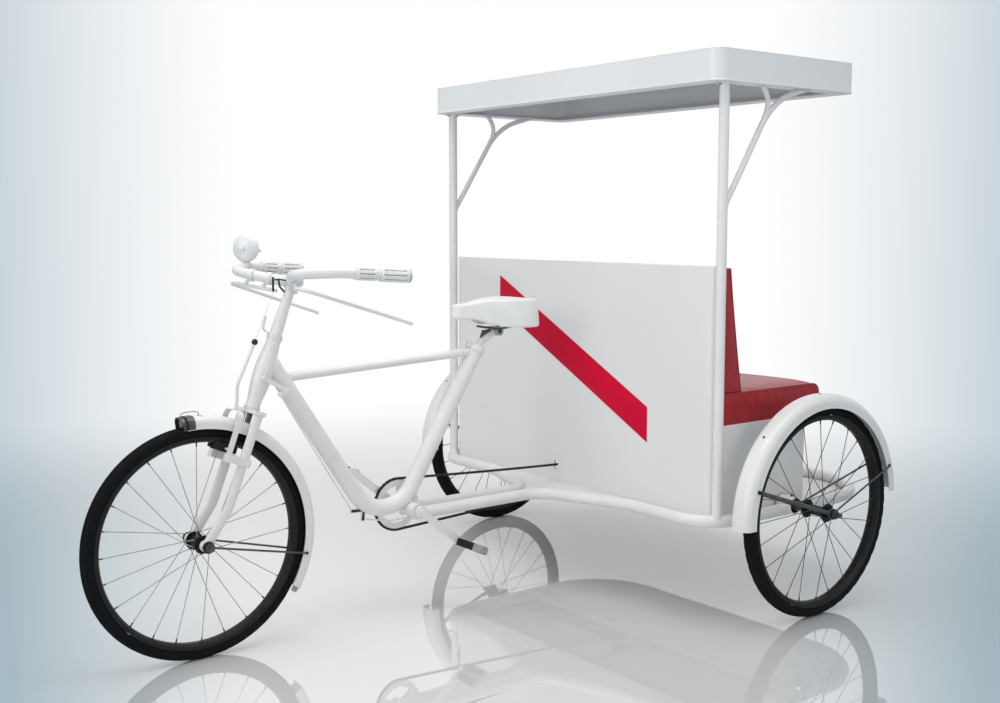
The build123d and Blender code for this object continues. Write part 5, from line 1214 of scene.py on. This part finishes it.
stripe_red = finish_material("red_stripe_enamel", (0.64, 0.003, 0.035), 0.4, Specular_IOR_Level=0.1,
                             Coat_Weight=0.02,
                             Coat_Roughness=0.14)
mottle(stripe_red, 1.6, (0.50, 0.002, 0.025), 0.35, 0.75, 1.0)
uneven_gloss(stripe_red, 9.0, 0.34, 0.5)
relief(stripe_red, grain(stripe_red, 380.0, 2.0), 0.00005, 0.5)
shape = bmesh.new()
edge_rows = []
for lift, ease in ((0.1, 0.0), (0.9, 0.0), (1.2, 0.6)):
    middle_y = sum(y for y, z in STRIPE) / 4
    row = []
    for k, (y, z) in enumerate(STRIPE):
        row.append(shape.verts.new(at(WALL_X + lift, y - ease * (1 if y > middle_y else -1),
                                      z - ease * (1 if k in (0, 3) else -1))))
    edge_rows.append(row)
add_skin(shape, edge_rows)
shape.faces.new(edge_rows[-1])
shape.faces.new(edge_rows[0][::-1])
piece("wall_stripe", shape, stripe_red, "chassis")

# ---- Seat box ----
# Flat sheet closes the box under the bench at its sides and back, and a plywood deck lies on top.
# The rear sheet is flanged over the ring and held by a row of countersunk screws.
SEAT_BASE_Z = 637.0
REAR_PANEL_X = -118.0
for node in ("side_panel_left", "side_panel_right", "seat_box_panel"):
    dress(node, panel_paint)
plywood = finish_material("birch_plywood", (0.50, 0.36, 0.22), 0.62)
mottle(plywood, 14.0, (0.38, 0.26, 0.15), 0.4, 0.7)
grain_lines = ramp_between(plywood.node_tree, grain(plywood, 9.0, 6.0, (1.0, 14.0, 1.0)), 0.35, 0.75)
relief(plywood, grain_lines, 0.0003, 0.5)
uneven_gloss(plywood, 20.0, 0.5, 0.75)
dress("seat_deck", plywood)
shape = bmesh.new()
for n in range(9):
    y = (n - 4) * 165.0
    for z in (SEAT_BASE_Z - 9.0, 334.0):
        add_turned(shape, at(REAR_PANEL_X - 0.1, y, z), Vector((-1, 0, 0)),
                   [(0.0058, -0.001), (0.0058, 0.0002), (0.0048, 0.0009), (0.0018, 0.0010), (0.0014, 0.0004),
                    (0, 0.0004)], 18)
for side in (1, -1):
    for x in (-70.0, 40.0, 150.0, 260.0):
        add_turned(shape, at(x, side * (BODY_HALF + 0.1), SEAT_BASE_Z - 9.0), Vector((0, side, 0)),
                   [(0.0050, -0.001), (0.0050, 0.0002), (0.0040, 0.0008), (0.0016, 0.0009), (0.0012, 0.0003),
                    (0, 0.0003)], 18)
piece("seat_box_screws", shape, panel_paint, "chassis")
shape = bmesh.new()
add_run(shape, [at(REAR_PANEL_X + 1.0, y, SEAT_BASE_Z - 1.6) for y in (-BODY_HALF + 3, BODY_HALF - 3)],
        0.0026, 10)
for side in (1, -1):
    add_run(shape, [at(x, side * (BODY_HALF - 3.2), SEAT_BASE_Z - 1.6)
                    for x in (REAR_PANEL_X + 9.0, WALL_END_X - 2.0)], 0.0026, 10)
    add_run(shape, [at(REAR_PANEL_X + 3.6, side * (BODY_HALF - 3.6), z) for z in (322.0, SEAT_BASE_Z - 2.0)],
            0.0040, 10)
piece("seat_box_hems", shape, panel_paint, "chassis")

# ---- Seat bench ----
# Red leatherette sewn over foam: a long cushion and a wedge that leans on the wall behind the
# riders' backs. Piping is sewn along their edges, and the panels crown between the seams.
CUSHION_REAR, CUSHION_FRONT = -198.0, 293.5
CUSHION_HALF = 696.5
CUSHION_SEAM_Z, BACK_FOOT_Z = 738.0, 742.0
CUSHION_ROLL = 32.0
BACK_FRONT, BACK_HALF, BACK_TOP_Z = 329.5, 694.0, 1140.0
BACK_THICK = (132.0, 72.0)              # at its foot and at its top
CLOTH_STEPS = 20
PAD_SWELL = 0.010
PIPE_R = 0.0026
leather = finish_material("red_leatherette", (0.40, 0.008, 0.014), 0.34, Specular_IOR_Level=0.4,
                          Coat_Weight=0.1,
                          Coat_Roughness=0.2, Sheen_Weight=0.03)
mottle(leather, 2.6, (0.33, 0.006, 0.011), 0.3, 0.8, 2.0)
uneven_gloss(leather, 22.0, 0.27, 0.42)
tree = leather.node_tree
pores = add_node(tree, "TexVoronoi")
pores.feature = "DISTANCE_TO_EDGE"
pores.inputs["Scale"].default_value = 520.0
where = add_node(tree, "TexCoord")
join(tree, (where.outputs["Object"], pores.inputs["Vector"]))
relief(leather, ramp_between(tree, pores.outputs["Distance"], 0.02, 0.2), 0.0002, 0.45)
relief(leather, grain(leather, 26.0, 4.0), 0.0009, 0.35)


def seam_pull(share):
    """How far a sewn edge draws in between its corners, 0 at both ends."""
    return 1.0 - abs(2.0 * share - 1.0) ** 3


def pad_place_cushion(a, b, c):
    """The cushion's slack shape from three shares of its length, width and height, in mm."""
    x = mid(CUSHION_REAR, CUSHION_FRONT, a)
    y = mid(-CUSHION_HALF, CUSHION_HALF, b)
    z = mid(SEAT_BASE_Z + 0.6, CUSHION_SEAM_Z, c)
    inward, upward = CUSHION_REAR + CUSHION_ROLL - x, z - CUSHION_SEAM_Z + CUSHION_ROLL
    if inward > 0 and upward > 0:
        share = max(inward, upward) / sqrt(inward ** 2 + upward ** 2)
        x, z = x + inward * (1 - share), z - upward * (1 - share)
    y += 3.0 * seam_pull(a) * (1.0 if b < 0.5 else -1.0) * abs(2 * b - 1) ** 3
    return Vector((x, y, z))


def pad_place_backrest(a, b, c):
    """The backrest's slack shape, thick at its foot and rounded inside the wall's corners, in mm."""
    z = mid(BACK_FOOT_Z, BACK_TOP_Z, c)
    thick = mid(*BACK_THICK, c)
    x = BACK_FRONT - thick * (1.0 - a)
    reach = max(0.0, x - (BACK_FRONT - CORNER_R))
    half = BACK_HALF - (CORNER_R - sqrt(max(0.0, CORNER_R ** 2 - reach ** 2)))
    half -= 3.0 * seam_pull(c) * (1.0 - a)
    x += 2.0 * seam_pull(b) * (1.0 - a) ** 3
    return Vector((x, mid(-half, half, b), z - 2.0 * seam_pull(b) * c ** 3))


def sewn_pad(name, node, place, counts, held_faces, seams, swell):
    """A pad whose panels swell between pinned seams, giving back its corners' places for piping along them.
    """
    shape = bmesh.new()
    grid = {}
    nx, ny, nz = counts
    for i in range(nx + 1):
        for j in range(ny + 1):
            for k in range(nz + 1):
                if i in (0, nx) or j in (0, ny) or k in (0, nz):
                    grid[i, j, k] = shape.verts.new(place(i / nx, j / ny,
                                                          k / nz) / 1000.0 + Vector((REAR_AXLE / 1000.0, 0,
                                                                                     0)))
    for axis, first, second in ((0, 1, 2), (1, 0, 2), (2, 0, 1)):
        for level in (0, counts[axis]):
            for p in range(counts[first]):
                for q in range(counts[second]):
                    corners = []
                    for dp, dq in ((0, 0), (1, 0), (1, 1), (0, 1)):
                        key = [0, 0, 0]
                        key[axis], key[first], key[second] = level, p + dp, q + dq
                        corners.append(grid[tuple(key)])
                    shape.faces.new(corners)
    shape.verts.index_update()
    index = {key: vert.index for key, vert in grid.items()}
    bmesh.ops.recalc_face_normals(shape, faces=shape.faces)
    mesh = bpy.data.meshes.new(name)
    shape.to_mesh(mesh)
    shape.free()
    held = bpy.data.objects.new(name, mesh)
    scene.collection.objects.link(held)

    def on(key, face):
        axis, end = face
        return key[axis] == (counts[axis] if end else 0)

    pinned = [index[key] for key in grid if any(on(key, face) for face in held_faces)
              or any(on(key, face) and on(key, other) for face, other in seams)]
    rest = [v.co.copy() for v in mesh.vertices]
    group = held.vertex_groups.new(name="seams")
    group.add(pinned, 1.0, "REPLACE")
    cloth = held.modifiers.new("leatherette", "CLOTH")
    settings = cloth.settings
    settings.quality = 6
    settings.mass = 0.4
    settings.use_pressure = True
    settings.uniform_pressure_force = 4.0
    settings.tension_stiffness = settings.compression_stiffness = 22.0
    settings.bending_stiffness = 1.2
    settings.shrink_min = -0.003
    settings.vertex_group_mass = "seams"
    settings.effector_weights.gravity = 0.0
    for step in range(1, CLOTH_STEPS + 1):
        scene.frame_set(step)
    puffed = held.evaluated_get(bpy.context.evaluated_depsgraph_get()).to_mesh()
    moved = [v.co.copy() for v in puffed.vertices]
    held.evaluated_get(bpy.context.evaluated_depsgraph_get()).to_mesh_clear()
    held.modifiers.remove(cloth)
    held.vertex_groups.remove(group)
    scene.frame_set(1)
    for vert, start, end in zip(mesh.vertices, rest, moved):
        push = end - start
        if push.length > 1e-7:
            vert.co = start + push * (swell * tanh(push.length / swell) / push.length)
    shape = bmesh.new()
    shape.from_mesh(mesh)
    bmesh.ops.subdivide_edges(shape, edges=shape.edges[:], cuts=1, use_grid_fill=True, smooth=0.6)
    shape.to_mesh(mesh)
    shape.free()
    mesh.materials.append(leather)
    mesh.shade_smooth()
    mesh.set_sharp_from_angle(angle=radians(50.0))
    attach(held, "chassis")
    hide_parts(node)
    return [Vector(v.co) for v in mesh.vertices], index


def seam_line(points, index, counts, axis, end):
    """The places round the edge of one face of a pad, as a closed loop."""
    first, second = [n for n in range(3) if n != axis]
    p, q = counts[first], counts[second]
    walk = ([(n, 0) for n in range(p)] + [(p, n) for n in range(q)]
            + [(n, q) for n in range(p, 0, -1)] + [(0, n) for n in range(q, 0, -1)])
    loop = []
    for a, b in walk:
        key = [0, 0, 0]
        key[axis], key[first], key[second] = end * counts[axis], a, b
        loop.append(points[index[tuple(key)]])
    return loop


# A pad's faces, each as its axis and end.
END_LOW, END_HIGH, REAR, FRONT, FOOT, CROWN = (1, 0), (1, 1), (0, 0), (0, 1), (2, 0), (2, 1)
cushion_counts = (49, 139, 10)
cushion_points, cushion_index = sewn_pad(
    "bench_cushion", "seat_cushion", pad_place_cushion, cushion_counts, [FOOT],
    [(FRONT, CROWN)] + [(end, face) for end in (END_LOW, END_HIGH) for face in (REAR, FRONT, CROWN)],
    PAD_SWELL)
back_counts = (9, 139, 39)
back_points, back_index = sewn_pad(
    "bench_backrest", "seat_backrest", pad_place_backrest, back_counts, [FRONT, FOOT],
    [(REAR, CROWN)] + [(end, face) for end in (END_LOW, END_HIGH) for face in (REAR, CROWN)], PAD_SWELL * 0.6)
shape = bmesh.new()
for end in (0, 1):
    add_run(shape, seam_line(cushion_points, cushion_index, cushion_counts, 1, end), PIPE_R, 8, closed=True)
add_run(shape, seam_line(back_points, back_index, back_counts, 0, 0), PIPE_R, 8, closed=True)
piece("bench_piping", shape, leather, "chassis")

# ---- Foot board ----
# Chequered steel sheet in the back of the ring, painted pale grey, for the riders' feet.
BOARD_TOP_Z = 319.8
CHEQUER_PITCH = 25.0
board_paint = white_paint("pale_grey_board_paint", 1.0, 0.42, (0.66, 0.67, 0.68))
dress("foot_board", board_paint)
shape = bmesh.new()
for row in range(14):
    for column in range(52):
        x = -146.0 - row * CHEQUER_PITCH
        y = (column - 25.5) * CHEQUER_PITCH
        if abs(y) > 640 or (x < -300 and (abs(y) - 420) ** 2 * (abs(y) > 420) + (x + 300) ** 2 > 190 ** 2):
            continue
        lean = 0.78 if (row + column) % 2 else -0.78
        along = Vector((cos(lean), sin(lean), 0))
        spot = at(x, y, BOARD_TOP_Z)
        side = Vector((-along.y, along.x, 0))
        low = [shape.verts.new(spot + along * (a / 1000.0) + side * (b / 1000.0) + Vector((0, 0, -0.0002)))
               for a, b in ((-9, 0), (-4, -2.4), (4, -2.4), (9, 0), (4, 2.4), (-4, 2.4))]
        high = [shape.verts.new(spot + along * (a / 1000.0) + side * (b / 1000.0) + Vector((0, 0, 0.0011)))
                for a, b in ((-6.5, 0), (-3.4, -1.2), (3.4, -1.2), (6.5, 0), (3.4, 1.2), (-3.4, 1.2))]
        shape.faces.new(high)
        add_skin(shape, [low, high])
piece("foot_board_chequers", shape, board_paint, "chassis", smooth=False)

# ---- Canopy ----
# A shallow moulded shell of glass fibre with a smooth white gel coat, its underside open, turned in
# round the edge to sit on the posts.
CANOPY_FRONT, CANOPY_REAR = 398.0, -278.0
CANOPY_HALF = 756.0
CANOPY_CORNER_R = 40.0
CANOPY_LOW, CANOPY_TOP = 1716.0, 1816.0
shell_coat = finish_material("white_gel_coat", (0.80, 0.805, 0.81), 0.3, Coat_Weight=0.3, Coat_Roughness=0.12)
mottle(shell_coat, 2.2, (0.755, 0.76, 0.77), 0.3, 0.8)
uneven_gloss(shell_coat, 6.0, 0.24, 0.38)
relief(shell_coat, grain(shell_coat, 55.0, 2.0), 0.0004, 0.25)
relief(shell_coat, grain(shell_coat, 420.0, 2.0), 0.00005, 0.4)
dress("canopy", shell_coat)


def canopy_edge(inset):
    """The canopy's rounded outline in plan, inset by some mm."""
    r = CANOPY_CORNER_R - inset
    front, rear = CANOPY_FRONT - CANOPY_CORNER_R, CANOPY_REAR + CANOPY_CORNER_R
    half = CANOPY_HALF - CANOPY_CORNER_R
    loop = []
    for cx, cy, first in ((front, half, 0), (rear, half, 90), (rear, -half, 180), (front, -half, 270)):
        for n in range(10):
            t = radians(first + n * 10)
            loop.append((cx + r * cos(t), cy + r * sin(t)))
    return loop


shape = bmesh.new()
add_run(shape, [at(x, y, CANOPY_LOW + 2.6) for x, y in canopy_edge(1.4)], 0.0032, 10, closed=True)
add_run(shape, [at(x, y, CANOPY_TOP - 2.6) for x, y in canopy_edge(2.4)], 0.0030, 10, closed=True)
piece("canopy_beads", shape, shell_coat, "chassis")

# ---- Posts and braces ----
# Two upright tubes stand on the ring and forked braces of thinner tube run back from them, all
# welded, with a round plate bolted under the canopy's edge at each top.
POST_X = 330.0
POST_Y = 720.0
POST_TOP_Z = 1715.8
for node in ("post_left", "post_right", "post_brace_left", "post_brace_right"):
    dress(node, tube_paint)
for name, side in (("left", 1), ("right", -1)):
    shape = bmesh.new()
    foot_skin = surface_of("base_frame")
    add_weld(shape, foot_skin, at(POST_X, side * POST_Y, 520.0), Vector((0, 0, -1)), 0.016)
    post_skin = surface_of(f"post_{name}")
    for start, foot in (((235.0, 1471.0), (334.0, 1318.0)), ((150.0, 1602.0), (116.0, 1668.0))):
        low = [at(x, side * POST_Y, z) for x, z in (start, foot)]
        skin = post_skin if start[0] > 200.0 else surface_of(f"post_brace_{name}")
        add_weld(shape, skin, low[0], low[1] - low[0], 0.0095)
    for x, reach in ((-49.0, 26.0), (153.5, 12.0)):
        ring = [at(x + reach * cos(t), side * POST_Y + 10.5 * sin(t), 1713.5)
                for t in [2 * pi * n / 28 for n in range(28)]]
        add_run(shape, ring, 0.0018, 7, closed=True)
    add_turned(shape, at(POST_X, side * POST_Y, POST_TOP_Z), Vector((0, 0, -1)),
               [(0.0155, 0), (0.0285, 0), (0.0290, 0.0006), (0.0290, 0.0034), (0.0284, 0.004),
                (0.0155, 0.004)], 40)
    piece(f"post_welds_{name}", shape, weld_paint, "chassis")
shape = bmesh.new()
for side in (1, -1):
    for x in (POST_X + 22.0, POST_X - 22.0):
        add_bolt(shape, at(x, side * POST_Y, POST_TOP_Z - 4.0), Vector((0, 0, -1)), 3.2, washer=1.3)
piece("post_bolts", shape, bolt_steel, "chassis")

# ---- Saddle ----
# White vinyl drawn over foam on a pressed steel pan, its skirt turned under and the springs out of
# sight inside, held by a serrated clamp on a bent pillar.
SADDLE_NOSE, SADDLE_REAR = 851.0, 542.0
saddle_vinyl = finish_material("white_saddle_vinyl", (0.80, 0.80, 0.80), 0.4, Coat_Weight=0.12,
                               Coat_Roughness=0.25, Sheen_Weight=0.05)
mottle(saddle_vinyl, 12.0, (0.735, 0.735, 0.735), 0.35, 0.8)
uneven_gloss(saddle_vinyl, 30.0, 0.34, 0.5)
relief(saddle_vinyl, grain(saddle_vinyl, 950.0, 2.0), 0.00012, 0.5)
SADDLE_PLAN = [             # share from nose to rear, half width
    (0.000, 0.0), (0.003, 9.0), (0.014, 16.5), (0.040, 23.0), (0.090, 27.0), (0.180, 30.0), (0.280, 34.5),
    (0.360, 42.0),
    (0.440, 55.0), (0.520, 72.0), (0.600, 88.0), (0.680, 99.5), (0.760, 107.0), (0.840, 109.5),
    (0.900, 108.0),
    (0.945, 102.5), (0.975, 93.0), (0.993, 78.0), (1.000, 58.0), (1.000, 30.0), (1.000, 0.0),
]
SADDLE_SIDE = [             # share from nose to rear, underside, top
    (0.0, 967.0, 1011.0), (0.05, 966.0, 1013.0), (0.20, 963.0, 1014.5), (0.26, 960.0, 1017.0),
    (0.32, 955.0, 1023.0),
    (0.40, 946.0, 1025.0), (0.50, 937.0, 1026.0), (0.62, 932.5, 1027.0), (0.85, 931.6, 1027.6),
    (1.0, 933.0, 1026.6),
]
SADDLE_EDGE = [             # share of the height, inset from the foot in mm
    (0.12, 10.0), (0.01, 7.5), (0.0, 4.0), (0.02, 1.4), (0.07, 0.2), (0.14, 0.4), (0.45, 2.4), (0.80, 4.8),
    (0.92, 6.0),
    (0.975, 8.0), (0.995, 11.0),
]


def saddle_height(x, share):
    """A height between the saddle's underside and top at a place along it."""
    place = (SADDLE_NOSE - x) / (SADDLE_NOSE - SADDLE_REAR)
    for (first, low, high), (last, next_low, next_high) in zip(SADDLE_SIDE, SADDLE_SIDE[1:]):
        if place <= last:
            step = max(0.0, place - first) / (last - first)
            return mid(mid(low, next_low, step), mid(high, next_high, step), share)
    return mid(SADDLE_SIDE[-1][1], SADDLE_SIDE[-1][2], share)


plan = [Vector((SADDLE_NOSE - (SADDLE_NOSE - SADDLE_REAR) * share, half)) for share, half in SADDLE_PLAN]
plan += [Vector((p.x, -p.y)) for p in reversed(plan[1:-1])]
count = len(plan)
normals = []
for n in range(count):
    along = (plan[(n + 1) % count] - plan[n - 1]).normalized()
    normals.append(Vector((along.y, -along.x)))
shape = bmesh.new()
rows = []
for share, inset in SADDLE_EDGE:
    ring = [p - normal * inset for p, normal in zip(plan, normals)]
    rows.append([shape.verts.new(at(p.x, p.y, saddle_height(p.x, share))) for p in ring])
for width in (0.8, 0.5, 0.2):
    rows.append([shape.verts.new(at(p.x, p.y * width,
                                    saddle_height(p.x, 1.0) - 2.4 * (1 - width) * sin(pi * n / count)))
                 for n, p in enumerate(ring)])
add_skin(shape, rows)
for row in (rows[0], rows[-1]):
    shape.faces.new((row[0], row[1], row[-1]))
    for k in range(1, count // 2 - 1):
        shape.faces.new((row[k], row[k + 1], row[count - k - 1], row[count - k]))
    shape.faces.new((row[count // 2 - 1], row[count // 2], row[count // 2 + 1]))
bmesh.ops.recalc_face_normals(shape, faces=shape.faces)
bmesh.ops.subdivide_edges(shape, edges=shape.edges[:], cuts=1, use_grid_fill=True, smooth=0.4)
held = piece("saddle_cover", shape, saddle_vinyl, "chassis")
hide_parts("saddle")

dress("seat_post", tube_paint)
dress("saddle_clamp", pedal_steel)
shape = bmesh.new()
clamp = at(668.0, 0, 915.8)
for side in (1, -1):
    out = Vector((0, side, 0))
    add_bolt(shape, clamp + out * 0.026, out, 5.4)
    rail = [at(730, side * 22, 934.0), at(690, side * 26, 926.5), at(646, side * 27, 926.5),
            at(590, side * 38, 936.0)]
    add_run(shape, rail, 0.0036, 10)
# A thin dark steel wedge ahead of the pillar, under the saddle's nose, is painted shadow standing where there
# is only shade.
shadow_wedge = [at(x, 0, z) for x, z in ((751.0, 850.0), (724.0, 921.0), (684.0, 924.0), (706.0, 903.0))]
sides = [[shape.verts.new(p + Vector((0, y, 0))) for p in shadow_wedge] for y in (-0.003, 0.003)]
shape.faces.new(sides[0])
shape.faces.new(sides[1][::-1])
add_skin(shape, sides)
piece("saddle_rails_and_shadow_wedge", shape, stay_steel, "chassis")
